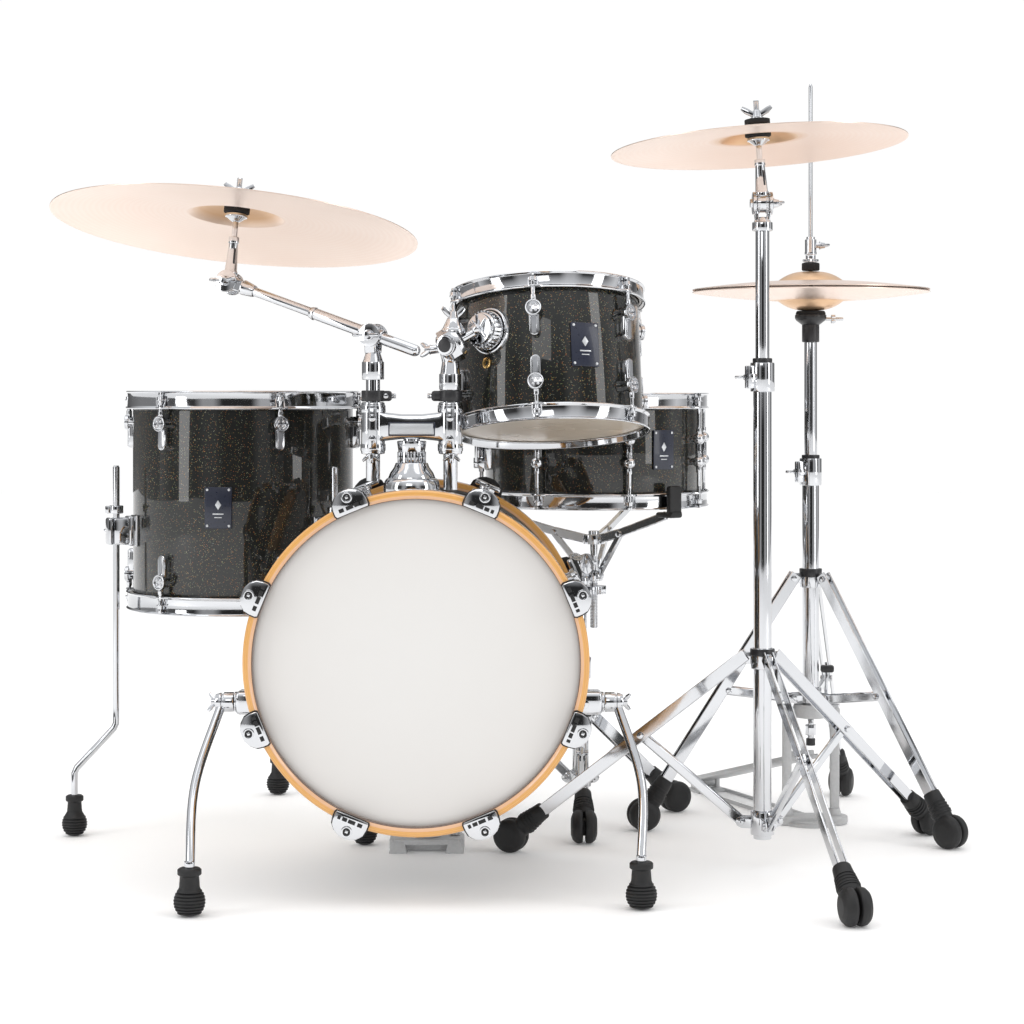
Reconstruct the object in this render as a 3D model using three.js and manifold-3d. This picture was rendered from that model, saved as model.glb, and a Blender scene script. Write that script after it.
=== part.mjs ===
// Four-piece acoustic drum kit with two cymbals on stands, hi-hat, snare stand and bass pedal.
// Millimetres, +Z up. X runs across the kit, +Y from the audience's side to the player's.
// The origin is on the floor, below the outer face of the bass drum's batter hoop, on the drum's axis.
import * as THREE from "three";
import { mergeVertices } from "three/addons/utils/BufferGeometryUtils.js";
import Module from "manifold-3d";

// ---------- Driving dimensions ----------
const GAP = 0.3; // clearance between pieces that sit against each other
const FIT = 0.45; // radial clearance of a tube or pin that slides or turns in a bore
const DRUM_SIDES = 24;
const CYMBAL_SIDES = 24;
const TUBE_SIDES = 12;
const ROD_SIDES = 8;
const PIN_SIDES = 6;
const FILM = 1; // drum head

const BASS = { radius: 203, depth: 378.4, wall: 7, height: 309, hoopIn: 4, hoopOut: 16, rise: 14, skirt: 24 };
const TOM = { radius: 127, depth: 178, wall: 6, hoopIn: 1.5, hoopOut: 9, rise: 11, skirt: 12 };
const FLOOR_TOM = { radius: 165, depth: 297, wall: 6.5, hoopIn: 1.5, hoopOut: 9, rise: 13, skirt: 14 };
const SNARE = { radius: 165, depth: 147, wall: 6.5, hoopIn: 1.5, hoopOut: 9, rise: 11, skirt: 13 };
const FLESH = { gap: 0.8, wall: 4, drop: 7 }; // the ring that the head is stretched on

const BASS_TOP = BASS.height + BASS.radius; // what the mast carries counts its heights from here
const TOM_AT = { azimuth: 39.63, reach: 43.1, z: BASS_TOP + 180, frontUp: 10, lean: -1.7 }; // from the ball
const FLOOR_AT = { x: -285, y: 185, base: 328 };
const SNARE_AT = { x: 246, y: 2 * TOM.radius - 31, base: 479 }; // clear of the tom in front of it

const MAST = { x: -14, radius: 11, below: 100, above: BASS_TOP + 78 };
const SOCKET = { dome: 38, domeTop: BASS_TOP + 25, neck: 24, neckTop: BASS_TOP + 44, collar: 19,
  collarTop: BASS_TOP + 60 };
const HOLDER = { left: -52, right: 52, low: BASS_TOP + 56, high: BASS_TOP + 126,
  bar: [BASS_TOP + 72, BASS_TOP + 114], barDepth: 26, bracket: 16 };
const TUBE = 9.5; // holder tubes and the stands' upper tubes
const STAND_TUBE = 12.5; // the stands' lower tubes
const RIDE_TUBE = { low: BASS_TOP + 20, pivot: BASS_TOP + 216, fork: BASS_TOP + 188 };
const BOOM = { radius: 6.5, tail: 65 };
const RIDE_PIVOT = new THREE.Vector3(-269, -121, BASS_TOP + 291); // tilter on the end of the boom
const RIDE_UP = new THREE.Vector3(0.0805, 0.1435, 0.9864).normalize();
const RIDE = { radius: 254, bell: 66, bellHigh: 17, bow: 17, above: 110 };
const CRASH = { radius: 203, bell: 55, bellHigh: 15, bow: 12, above: 104 };
const HAT = { radius: 178, bell: 50, bellHigh: 15, bow: 12 };
const CYMBAL = { wall: 1.5, hole: 6.5, rod: 4, sleeve: 7, felt: 8 };

const TOM_TUBE = { low: BASS_TOP + 8, housing: BASS_TOP + 204, width: 44, depth: 40, height: 34 };
const BALL = { radius: 13, socket: 13.5, stem: 5.5, mouth: 10.5 };
const TOM_BRACKET = { azimuth: -130, radius: 27, out: 24, rise: 28 };

const SPUR = { y: -300, height: 247, tube: 6, out: 257, cap: 20 };
const SPURS = [{ name: "spur_left", side: -1, footX: 280, footY: -446 },
  { name: "spur_right", side: 1, footX: 284, footY: -407 }];

const LEG_ROD = 5; // floor tom legs
const FLOOR_LEG = { azimuths: [203, 84, -41], at: 195, foot: 257, top: 543, bend: [158, 96], clamp: 446 };

// Tripods: the leg runs from a pivot on the collar, over the brace's pivot, to the foot.
const PIN = 3;
const STRIP = { thick: 2.5, wide: 17, inner: 9, past: 7 };
const BRACE_THICK = 8;
const FOOT = { radius: 24, wide: 38 };
const PIVOT_OUT = STAND_TUBE + 16; // a tripod's pivots, from the tube's middle
const CRASH_STAND = { x: 464, y: -149, azimuths: [162, 42, -78], hub: 62, collar: 287, reach: 362,
  pivot: PIVOT_OUT };
const CRASH_TUBES = { split: 692, lower: 40, top: 862, pivot: 910 };
const CRASH_LEAN = { frontUp: 2.65, lean: -3.35 };
const HAT_STAND = { x: 572, y: 181, azimuths: [192, 72, -48], hub: 191, collar: 371, reach: 261,
  pivot: PIVOT_OUT };
const HAT_JOIN = { radius: 131, height: 205 }; // where a hi-hat brace meets its leg
const HAT_TUBES = { bottom: 182, split: 552, rodTop: 1117, pull: 122, edge: 805 };
const HAT_SEAT = { radius: 24, high: 20, sleeve: 13 };
const HAT_CASTING = { ring: 26, ringLow: 161, post: 5.5, postAt: 36, base: 62, baseHigh: 14 };
const SNARE_STAND = { x: 225, y: SNARE_AT.y - 24, azimuths: [-90, 30, 150], hub: 66, collar: 159, reach: 172,
  pivot: STAND_TUBE + 9.5 };
const SNARE_JOIN = { radius: 82, height: 117 };
const SNARE_POST = { split: 250, low: 180, top: 374 };
const BASKET = { azimuths: [-52, 68, 172], hub: 427, hubRadius: 20, lower: 371, lowerRadius: 14, end: 292,
  arm: 7, knee: 62, clear: 5 };

const LIFT = { wide: 106, front: -52, back: 20, bar: [12, 20], foot: 26, cradle: 60, hoopDeep: 38 };
const PEDAL = { wide: 84, front: 27, back: 334, plate: 5, axleY: 72, axleZ: 135, axle: 5, beater: 172 };
const PEDAL_BACK = 30; // how far the beater leans back from upright, in degrees
const BOARD = { wide: 66, thick: 6, heelY: 322, heelZ: 14, toeY: 98, toeZ: 84 };
const HAT_BOARD = { wide: 58, thick: 6, long: 308, heelZ: 14, toeZ: 92, toeOut: 22, azimuth: 114 };
const LEVER = { azimuth: 196, wide: 16, long: 62, thick: 5, out: 22, low: -26, pin: -20, cheek: 3 };

// ---------- Materials ----------
const finish = (color, roughness, metalness) => new THREE.MeshStandardMaterial({ color, roughness, metalness });
const LACQUER = finish(0x1a1c19, 0.15, 0.1);
const MAPLE = finish(0xd69e52, 0.3, 0);
const CHROME = finish(0xd8dadd, 0.08, 1);
const COATED = finish(0xe9e7e2, 0.6, 0);
const CLEAR = finish(0xcbb9a2, 0.35, 0);
const BRONZE = finish(0xd9b08c, 0.3, 1);
const RUBBER = finish(0x151515, 0.8, 0);
const CAST = finish(0xa9aaa9, 0.5, 0.7);

// ---------- Solids ----------
const wasm = await Module();
wasm.setup();
const deg = THREE.MathUtils.degToRad;
const vec = (p) => (p.isVector3 ? p : new THREE.Vector3(...p));

// A closed geometry as a manifold solid.
function solid(geometry) {
  const bare = geometry.index ? geometry.toNonIndexed() : geometry.clone();
  bare.deleteAttribute("normal");
  bare.deleteAttribute("uv");
  const merged = mergeVertices(bare, 1e-4);
  const vertProperties = merged.attributes.position.array;
  const triVerts = new Uint32Array(merged.index.array);
  return new wasm.Manifold(new wasm.Mesh({ numProp: 3, vertProperties, triVerts }));
}

function geometryOf(body) {
  const mesh = body.getMesh();
  const geometry = new THREE.BufferGeometry();
  geometry.setAttribute("position", new THREE.BufferAttribute(new Float32Array(mesh.vertProperties), 3));
  geometry.setIndex(new THREE.BufferAttribute(new Uint32Array(mesh.triVerts), 1));
  geometry.computeVertexNormals();
  return geometry;
}

const join = (first, ...rest) => geometryOf(rest.reduce((sum, g) => sum.add(solid(g)), solid(first)));
const cut = (body, ...tools) => geometryOf(tools.reduce((left, g) => left.subtract(solid(g)), solid(body)));

// A profile of [radius, height] points turned about Z.
function turned(profile, sides = TUBE_SIDES) {
  const points = profile.map(([r, z]) => new THREE.Vector2(r, z));
  return new THREE.LatheGeometry(points, sides).rotateX(Math.PI / 2);
}

// A ring or pipe about Z between two heights.
function ring(inner, outer, low, high, sides = TUBE_SIDES) {
  return turned([[inner, low], [outer, low], [outer, high], [inner, high], [inner, low]], sides);
}

function cylinder(radius, low, high, sides = TUBE_SIDES) {
  return turned([[0, low], [radius, low], [radius, high], [0, high]], sides);
}

// A straight round rod from one point to another.
function rod(from, to, radius, sides = ROD_SIDES, endRadius = radius) {
  const [a, b] = [vec(from), vec(to)];
  const along = b.clone().sub(a);
  const aim = new THREE.Quaternion().setFromUnitVectors(new THREE.Vector3(0, 1, 0), along.clone().normalize());
  const middle = a.clone().addScaledVector(along, 0.5);
  return new THREE.CylinderGeometry(endRadius, radius, along.length(), sides)
    .applyQuaternion(aim).translate(middle.x, middle.y, middle.z);
}

// A flat bar from one point to another: thick along side, wide across it.
function bar(from, to, wide, thick, side = [0, 1, 0]) {
  const [a, b, across] = [vec(from), vec(to), vec(side).clone().normalize()];
  const along = b.clone().sub(a);
  const up = along.clone().normalize().cross(across).normalize();
  const basis = new THREE.Matrix4().makeBasis(along.clone().normalize(), across, up);
  const middle = a.clone().addScaledVector(along, 0.5);
  return new THREE.BoxGeometry(along.length(), thick, wide).applyMatrix4(basis).translate(...middle.toArray());
}

function block(low, high) {
  const size = high.map((value, i) => value - low[i]);
  const middle = high.map((value, i) => (value + low[i]) / 2);
  return new THREE.BoxGeometry(...size).translate(...middle);
}

// A round bar bent along a smooth curve through a few points.
function bentRod(points, radius, steps, sides = PIN_SIDES) {
  const outline = new THREE.Shape();
  for (let i = 0; i < sides; i++) {
    const turn = (i / sides) * 2 * Math.PI;
    const place = [radius * Math.cos(turn), radius * Math.sin(turn)];
    if (i) outline.lineTo(...place);
    else outline.moveTo(...place);
  }
  const extrudePath = new THREE.CatmullRomCurve3(points.map(vec), false, "catmullrom", 0.3);
  return new THREE.ExtrudeGeometry(outline, { steps, extrudePath, bevelEnabled: false });
}

function node(name, geometry, material, group) {
  const mesh = new THREE.Mesh(geometry, material);
  mesh.name = name;
  group.add(mesh);
}

const kit = new THREE.Group();
function place(x, y, z, parent = kit) {
  const group = new THREE.Group();
  group.position.set(x, y, z);
  parent.add(group);
  return group;
}

// ---------- Drums ----------
// A head: the film and the flesh ring that hangs over the shell's edge.
function head(size, side) {
  const top = size.depth / 2 + GAP;
  const inner = size.radius + FLESH.gap;
  const outer = inner + FLESH.wall;
  const low = size.depth / 2 - FLESH.drop;
  const profile = [[0, top], [inner, top], [inner, low], [outer, low], [outer, top + FILM], [0, top + FILM]];
  const geometry = turned(profile, DRUM_SIDES);
  return side > 0 ? geometry : geometry.rotateX(Math.PI);
}

// A hoop: a lip that presses on the flesh ring, and a skirt around it.
function hoop(size, side) {
  const face = size.depth / 2 + GAP + FILM;
  const lip = size.radius + size.hoopIn;
  const skirt = size.radius + FLESH.gap + FLESH.wall + GAP;
  const outer = size.radius + size.hoopOut;
  const [low, high] = [face - size.skirt, face + size.rise];
  const profile = [[lip, face + GAP], [skirt, face + GAP], [skirt, low], [outer, low], [outer, high], [lip, high],
    [lip, face + GAP]];
  const geometry = turned(profile, DRUM_SIDES);
  return side > 0 ? geometry : geometry.rotateX(Math.PI);
}

// The shell's ends lie on +Z (batter) and -Z. Additions are joined on and holes are cut.
function drum(prefix, names, size, materials, group, additions = [], holes = []) {
  let shell = ring(size.radius - size.wall, size.radius, -size.depth / 2, size.depth / 2, DRUM_SIDES);
  if (additions.length) shell = join(shell, ...additions);
  if (holes.length) shell = cut(shell, ...holes);
  node(`${prefix}_shell`, shell, LACQUER, group);
  names.forEach((name, i) => {
    const side = i ? -1 : 1;
    node(`${prefix}_${name}_hoop`, hoop(size, side), materials.hoop, group);
    const end = i ? materials.far : "batter";
    node(`${prefix}_${end}_head`, head(size, side), i ? materials.farHead : COATED, group);
  });
}

// A bracket on a shell: a block from inside the wall out to a radius, at an azimuth and a height.
function shellBlock(size, azimuth, out, wide, low, high) {
  return block([size.radius - size.wall / 2, -wide / 2, low], [out, wide / 2, high]).rotateZ(deg(azimuth));
}

// Bass drum: its batter end looks along +Y, so a group turns the drum's Z there.
const bassMiddle = -(BASS.depth / 2 + GAP + FILM + BASS.rise);
const bass = place(0, bassMiddle, BASS.height);
bass.rotation.x = -Math.PI / 2;
const mastHole = rod([MAST.x, -BASS.radius - 20, 0], [MAST.x, 0, 0], MAST.radius + 2, TUBE_SIDES);
// The spur brackets: a block on each side, bored across for the spur's axle.
const spurInner = BASS.radius - 23;
const spurDrop = BASS.height - SPUR.height;
const spurAlong = SPUR.y - bassMiddle;
const spurOuter = SPUR.out - 17;
const spurBlocks = SPURS.map(({ side }) => block(
  [side > 0 ? spurInner : -spurOuter, spurDrop - 15, spurAlong - 19],
  [side > 0 ? spurOuter : -spurInner, spurDrop + 15, spurAlong + 19]));
const spurAxle = SPUR.tube + 1;
const spurBores = SPURS.map(({ side }) => rod([side * (SPUR.out - 33), spurDrop, spurAlong],
  [side * (SPUR.out + 10), spurDrop, spurAlong], spurAxle + FIT, TUBE_SIDES));
const bassBore = cylinder(BASS.radius - BASS.wall, -BASS.depth, BASS.depth, DRUM_SIDES);
drum("bass", ["batter", "front"], BASS, { hoop: MAPLE, far: "front", farHead: COATED }, bass,
  spurBlocks, [bassBore, mastHole, ...spurBores]);

// A spur: an axle in the bracket, a bent tube and a rubber foot.
function spur({ name, side, footX, footY }) {
  const top = [side * SPUR.out, SPUR.y, SPUR.height];
  const foot = [side * footX, footY, 0];
  const knee = [side * (footX + 3), (SPUR.y + footY) / 2, SPUR.height * 0.61];
  const ankle = [foot[0], footY + 4, 60];
  const leg = bentRod([top, knee, ankle, [foot[0], footY, 30]], SPUR.tube, 10);
  const axle = rod([side * (SPUR.out - 31), SPUR.y, SPUR.height], [side * (SPUR.out + 7), SPUR.y, SPUR.height],
    spurAxle, TUBE_SIDES);
  const boss = rod([side * (SPUR.out - 16), SPUR.y, SPUR.height], [side * (SPUR.out + 9), SPUR.y, SPUR.height],
    13, TUBE_SIDES);
  const cap = turned([[0, 0], [8, 0], [SPUR.cap, 14], [SPUR.cap, 22], [13, 32], [13, 52], [0, 52]], ROD_SIDES)
    .translate(...foot);
  node(name, join(leg, axle, boss, cap), CHROME, kit);
}
SPURS.forEach(spur);

// The lift under the batter hoop: a base frame, and a cradle that the hoop sits in.
const hoopRadius = BASS.radius + BASS.hoopOut;
const half = LIFT.wide / 2;
const liftParts = [
  block([-half, LIFT.front, 0], [-half + LIFT.foot, LIFT.back, LIFT.bar[1]]),
  block([half - LIFT.foot, LIFT.front, 0], [half, LIFT.back, LIFT.bar[1]]),
  block([-half, LIFT.front, LIFT.bar[0]], [half, LIFT.front + 14, LIFT.bar[1]]),
  block([-half, -LIFT.hoopDeep + 4, 0], [half, 8, LIFT.bar[1]]),
  block([-13, -LIFT.hoopDeep + 8, LIFT.bar[0]], [13, -8, BASS.height - hoopRadius - 4]),
  block([-LIFT.cradle / 2, -LIFT.hoopDeep, BASS.height - hoopRadius - 8],
    [LIFT.cradle / 2, 4, BASS.height - hoopRadius + 6]),
];
const hoopSpace = cylinder(hoopRadius + GAP, -LIFT.hoopDeep * 2, LIFT.hoopDeep * 2, DRUM_SIDES)
  .rotateX(-Math.PI / 2).translate(0, 0, BASS.height);
node("bass_lift", cut(join(...liftParts), hoopSpace), CAST, kit);

// ---------- Mast, double holder, ride boom ----------
const shellSpace = cylinder(BASS.radius + GAP, -BASS.depth, BASS.depth, DRUM_SIDES)
  .rotateX(-Math.PI / 2).translate(-MAST.x, 0, BASS.height);
const bore = MAST.radius + FIT;
const socketLow = BASS.height + BASS.radius - 8;
const socket = turned([[bore, socketLow], [SOCKET.dome, socketLow], [SOCKET.dome, SOCKET.domeTop],
  [SOCKET.neck, SOCKET.neckTop - 3], [SOCKET.neck - 6, SOCKET.neckTop], [SOCKET.collar, SOCKET.neckTop],
  [SOCKET.collar, SOCKET.collarTop], [bore, SOCKET.collarTop], [bore, socketLow]]);
const mastGroup = place(MAST.x, bassMiddle, 0);
node("mast_socket", cut(socket, shellSpace), CHROME, mastGroup);

const tubeBore = TUBE + FIT;
const mastPost = cylinder(MAST.radius, BASS.height + BASS.radius - MAST.below, MAST.above);
const crossbar = block([HOLDER.left, -HOLDER.barDepth / 2, HOLDER.bar[0]],
  [HOLDER.right, HOLDER.barDepth / 2, HOLDER.bar[1]]);
const brackets = [HOLDER.left, HOLDER.right].map((x) =>
  cylinder(HOLDER.bracket, HOLDER.low, HOLDER.high).translate(x, 0, 0));
const tubeBores = [HOLDER.left, HOLDER.right].map((x) =>
  cylinder(tubeBore, HOLDER.low - 5, HOLDER.high + 5).translate(x, 0, 0));
node("tom_mast", cut(join(mastPost, crossbar, ...brackets), ...tubeBores), CHROME, mastGroup);

// The ride's post ends in a fork; the boom's knuckle turns in it. The boom's line gives the fork's direction.
const boomPivot = new THREE.Vector3(MAST.x + HOLDER.left, bassMiddle, RIDE_TUBE.pivot);
const boomLine = RIDE_PIVOT.clone().sub(boomPivot).normalize();
const boomAxis = boomLine.clone().cross(new THREE.Vector3(0, 0, 1)).normalize();
const KNUCKLE = { radius: 15, half: 8, cheek: 5, gap: 0.4 };

// A fork of two cheeks around a knuckle, on an axis through a point, with a pin that the knuckle turns on.
function fork(at, axis, radius = KNUCKLE.radius) {
  const near = KNUCKLE.half + KNUCKLE.gap;
  const cheeks = [-1, 1].map((side) => rod(at.clone().addScaledVector(axis, side * near),
    at.clone().addScaledVector(axis, side * (near + KNUCKLE.cheek)), radius, TUBE_SIDES));
  const pin = rod(at.clone().addScaledVector(axis, -near - 1), at.clone().addScaledVector(axis, near + 1),
    PIN + 1, PIN_SIDES);
  return [...cheeks, pin];
}

function knuckle(at, axis) {
  const ends = [-1, 1].map((side) => at.clone().addScaledVector(axis, side * KNUCKLE.half));
  const outer = rod(ends[0], ends[1], KNUCKLE.radius - 1, TUBE_SIDES);
  return { outer, bore: rod(at.clone().addScaledVector(axis, -40), at.clone().addScaledVector(axis, 40),
    PIN + 1 + FIT + 0.3, TUBE_SIDES) };
}

// A yoke: two arms from a solid foot to the fork's cheeks.
function yoke(at, axis, foot) {
  const near = KNUCKLE.half + KNUCKLE.gap;
  return [-1, 1].map((side) => {
    const cheek = at.clone().addScaledVector(axis, side * (near + KNUCKLE.cheek / 2));
    const low = foot.clone().addScaledVector(axis, side * (near + KNUCKLE.cheek / 2));
    return bar(low, cheek, 18, KNUCKLE.cheek, axis);
  });
}

const forkFoot = new THREE.Vector3(boomPivot.x, boomPivot.y, RIDE_TUBE.fork + 2);
const ridePost = join(
  cylinder(TUBE, RIDE_TUBE.low, RIDE_TUBE.fork).translate(boomPivot.x, boomPivot.y, 0),
  cylinder(15, RIDE_TUBE.fork - 34, RIDE_TUBE.fork + 7).translate(boomPivot.x, boomPivot.y, 0),
  ...yoke(boomPivot, boomAxis, forkFoot), ...fork(boomPivot, boomAxis));
node("ride_post", ridePost, CHROME, kit);

const boomTail = boomPivot.clone().addScaledVector(boomLine, -BOOM.tail);
const tilterUp = RIDE_UP.clone().addScaledVector(boomLine, -RIDE_UP.dot(boomLine)).normalize();
const tilterAxis = boomLine.clone().cross(RIDE_UP).normalize();
const boomEnd = RIDE_PIVOT.clone().addScaledVector(boomLine, -KNUCKLE.radius - 8);
const boomKnuckle = knuckle(boomPivot, boomAxis);
const ferrule = boomEnd.clone().addScaledVector(boomLine, -14);
const yokeFoot = boomEnd.clone().addScaledVector(boomLine, -8);
const boomArm = join(cut(join(rod(boomTail, boomEnd, BOOM.radius), boomKnuckle.outer), boomKnuckle.bore),
  rod(ferrule, boomEnd, 11),
  ...yoke(RIDE_PIVOT, tilterAxis, yokeFoot), ...fork(RIDE_PIVOT, tilterAxis));
node("boom_arm", boomArm, CHROME, kit);

// A tilter: a knuckle, a sleeve, the cymbal's rod with a cup below the cymbal and a wing nut above it.
function tilter(at, axis, up, above) {
  const turn = knuckle(at, axis);
  const cup = at.clone().addScaledVector(up, above - CYMBAL.felt - 3);
  const top = at.clone().addScaledVector(up, above + 38);
  const nut = at.clone().addScaledVector(up, above + CYMBAL.felt + 12);
  return join(cut(turn.outer, turn.bore),
    rod(at.clone().addScaledVector(up, 9), at.clone().addScaledVector(up, above * 0.58), CYMBAL.sleeve),
    rod(at.clone().addScaledVector(up, 12), top, CYMBAL.rod, PIN_SIDES),
    rod(cup, cup.clone().addScaledVector(up, 3), 13),
    rod(nut, nut.clone().addScaledVector(up, 14), 10));
}
// The knuckle's bore is cut before the sleeve and rod are joined on, so they start outside it.
node("ride_tilter", tilter(RIDE_PIVOT, tilterAxis, RIDE_UP, RIDE.above), CHROME, kit);

// A cymbal: a bell, a bow that falls to the edge, and a centre hole, all one thin wall.
function cymbal(size, wall = CYMBAL.wall) {
  const under = [];
  const steps = 2;
  for (let i = 0; i <= steps; i++) {
    const share = i / steps;
    const r = size.bell + (size.radius - size.bell) * (1 - share);
    under.push([r, -size.bow * ((r - size.bell) / (size.radius - size.bell)) ** 1.5]);
  }
  const rise = [[size.bell * 0.55, size.bellHigh * 0.85], [CYMBAL.hole, size.bellHigh]];
  const lower = [...under, ...rise];
  const upper = lower.map(([r, z]) => [r, z + wall]).reverse();
  const profile = [...lower.reverse(), ...upper.reverse()];
  return turned([...profile, profile[0]], CYMBAL_SIDES).translate(0, 0, -size.bellHigh);
}

// Places a cymbal's hole at a point, square to a direction.
function cymbalNode(name, size, at, up) {
  const group = place(...at.toArray());
  group.quaternion.setFromUnitVectors(new THREE.Vector3(0, 0, 1), up);
  node(name, cymbal(size), BRONZE, group);
}
cymbalNode("ride_cymbal", RIDE, RIDE_PIVOT.clone().addScaledVector(RIDE_UP, RIDE.above), RIDE_UP);

// ---------- Tom and its post ----------
const postX = MAST.x + HOLDER.right;
const ballAt = new THREE.Vector3(postX + 4, bassMiddle, TOM_TUBE.housing);
const tomTurn = deg(TOM_AT.azimuth);
const tomOut = TOM.radius + TOM_AT.reach;
const tomGroup = place(ballAt.x + tomOut * Math.cos(tomTurn), ballAt.y + tomOut * Math.sin(tomTurn), TOM_AT.z);
tomGroup.rotation.set(-deg(TOM_AT.frontUp), deg(TOM_AT.lean), 0);
tomGroup.updateMatrixWorld(true);
const bracketTurn = deg(TOM_BRACKET.azimuth);
const bracketAt = (r) =>
  new THREE.Vector3(r * Math.cos(bracketTurn), r * Math.sin(bracketTurn), TOM_BRACKET.rise);
const ballLocal = tomGroup.worldToLocal(ballAt.clone());
const stemStart = bracketAt(TOM.radius + TOM_BRACKET.out - 6);
const tomBracket = [
  rod(bracketAt(TOM.radius - TOM.wall / 2), bracketAt(TOM.radius + TOM_BRACKET.out), TOM_BRACKET.radius,
    TUBE_SIDES, TOM_BRACKET.radius - 4),
  rod(stemStart, ballLocal, BALL.stem),
  new THREE.SphereGeometry(BALL.radius, 10, 6).translate(...ballLocal.toArray()),
];
const tomBore = cylinder(TOM.radius - TOM.wall, -TOM.depth, TOM.depth, DRUM_SIDES);
const metalHoops = { hoop: CHROME, far: "bottom", farHead: CLEAR };
drum("tom", ["top", "bottom"], TOM, metalHoops, tomGroup, tomBracket, [tomBore]);

// The post's housing holds the tom's ball; its mouth is a cone along the tom's stem.
const stemWorld = tomGroup.localToWorld(stemStart.clone());
const mouthLine = stemWorld.clone().sub(ballAt).normalize();
const housingSize = [TOM_TUBE.width, TOM_TUBE.depth, TOM_TUBE.height];
const housing = new THREE.BoxGeometry(...housingSize).translate(...ballAt.toArray());
const ballSpace = new THREE.SphereGeometry(BALL.socket + 0.6, 10, 8).translate(...ballAt.toArray());
const mouth = rod(ballAt, ballAt.clone().addScaledVector(mouthLine, 60), BALL.mouth, TUBE_SIDES, BALL.mouth + 30);
const postTop = TOM_TUBE.housing - TOM_TUBE.height / 2 + 1;
const tomPost = join(
  cylinder(TUBE, TOM_TUBE.low, postTop).translate(postX, bassMiddle, 0),
  cylinder(15, HOLDER.high + 14, postTop).translate(postX, bassMiddle, 0),
  cut(housing, ballSpace, mouth));
node("tom_post", tomPost, CHROME, kit);

// ---------- Floor tom and its legs ----------
const floorMiddle = FLOOR_AT.base + FLOOR_TOM.rise + FILM + GAP + FLOOR_TOM.depth / 2;
const floorGroup = place(FLOOR_AT.x, FLOOR_AT.y, floorMiddle);
const clampHigh = FLOOR_LEG.clamp - floorMiddle;
const legClamps = FLOOR_LEG.azimuths.map((a) =>
  shellBlock(FLOOR_TOM, a, FLOOR_LEG.at + 13, 26, clampHigh - 22, clampHigh + 22));
const legBore = cylinder(LEG_ROD + FIT, clampHigh - 60, clampHigh + 60, ROD_SIDES).translate(FLOOR_LEG.at, 0, 0);
const legBores = FLOOR_LEG.azimuths.map((a) => legBore.clone().rotateZ(deg(a)));
const floorBore = cylinder(FLOOR_TOM.radius - FLOOR_TOM.wall, -FLOOR_TOM.depth, FLOOR_TOM.depth, DRUM_SIDES);
drum("floor", ["top", "bottom"], FLOOR_TOM, metalHoops, floorGroup, legClamps, [floorBore, ...legBores]);

function floorLeg(azimuth, index) {
  const { at, foot, top, bend } = FLOOR_LEG;
  const path = [[at, 0, bend[0] + 25], [at, 0, bend[0]], [foot, 0, bend[1]], [foot, 0, bend[1] - 25]];
  const leg = join(cylinder(LEG_ROD, bend[0] + 22, top, ROD_SIDES).translate(at, 0, 0),
    bentRod(path, LEG_ROD, 8),
    cylinder(LEG_ROD, 20, bend[1] - 22, ROD_SIDES).translate(foot, 0, 0),
    turned([[0, 0], [7, 0], [19, 14], [19, 22], [12, 32], [14, 48], [0, 48]], ROD_SIDES).translate(foot, 0, 0));
  const group = place(FLOOR_AT.x, FLOOR_AT.y, 0);
  group.rotation.z = deg(azimuth);
  node(`floor_leg_${index + 1}`, leg, CHROME, group);
}
FLOOR_LEG.azimuths.forEach(floorLeg);

// ---------- Tripods ----------
const reachOf = (r, z) => [r, 0, z];
const sideways = (point, y) => [point[0], y, point[2]];

// The line of a leg from its collar pivot to its foot's wheel, in the leg's own plane.
function legLine(stand) {
  const top = reachOf(stand.pivot, stand.collar);
  const end = reachOf(stand.reach, FOOT.radius);
  return { top, end, at: (share) => top.map((value, i) => value + (end[i] - value) * share) };
}

function tripodFoot(stand) {
  const wheel = rod([stand.reach, -FOOT.wide / 2, FOOT.radius], [stand.reach, FOOT.wide / 2, FOOT.radius],
    FOOT.radius, TUBE_SIDES);
  const line = legLine(stand);
  const length = vec(line.top).distanceTo(vec(line.end));
  return [wheel, bar(line.at(1 - 62 / length), line.end, 26, 22)];
}

// A leg: two strips with the foot between their lower ends and a pin at each given place.
function tripodLeg(stand, pins) {
  const line = legLine(stand);
  const offset = STRIP.inner / 2 + STRIP.thick / 2;
  const length = vec(line.top).distanceTo(vec(line.end));
  const strips = [-1, 1].map((side) => bar(sideways(line.at(-STRIP.past / length), side * offset),
    sideways(line.at(1 - 50 / length), side * offset), STRIP.wide, STRIP.thick));
  const rivets = pins.map((p) => rod(sideways(p, -STRIP.inner / 2 - 2), sideways(p, STRIP.inner / 2 + 2), PIN,
    PIN_SIDES));
  return join(...strips, ...tripodFoot(stand), ...rivets);
}

function brace(from, to) {
  const grow = vec(to).clone().sub(vec(from)).normalize().multiplyScalar(STRIP.past);
  const body = bar(vec(from).clone().sub(grow), vec(to).clone().add(grow), 15, BRACE_THICK);
  const holes = [from, to].map((p) => rod(sideways(p, -30), sideways(p, 30), PIN + FIT + 0.2));
  return cut(body, ...holes);
}

// Ears on a ring around the tube: single ones that go between a leg's strips.
function ears(stand, height, azimuths) {
  return azimuths.map((a) => cut(block([STAND_TUBE + 2, -BRACE_THICK / 2, height - 8],
    [stand.pivot + 8, BRACE_THICK / 2, height + 8]),
  rod([stand.pivot, -30, height], [stand.pivot, 30, height], PIN + FIT + 0.2)).rotateZ(deg(a)));
}

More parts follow.
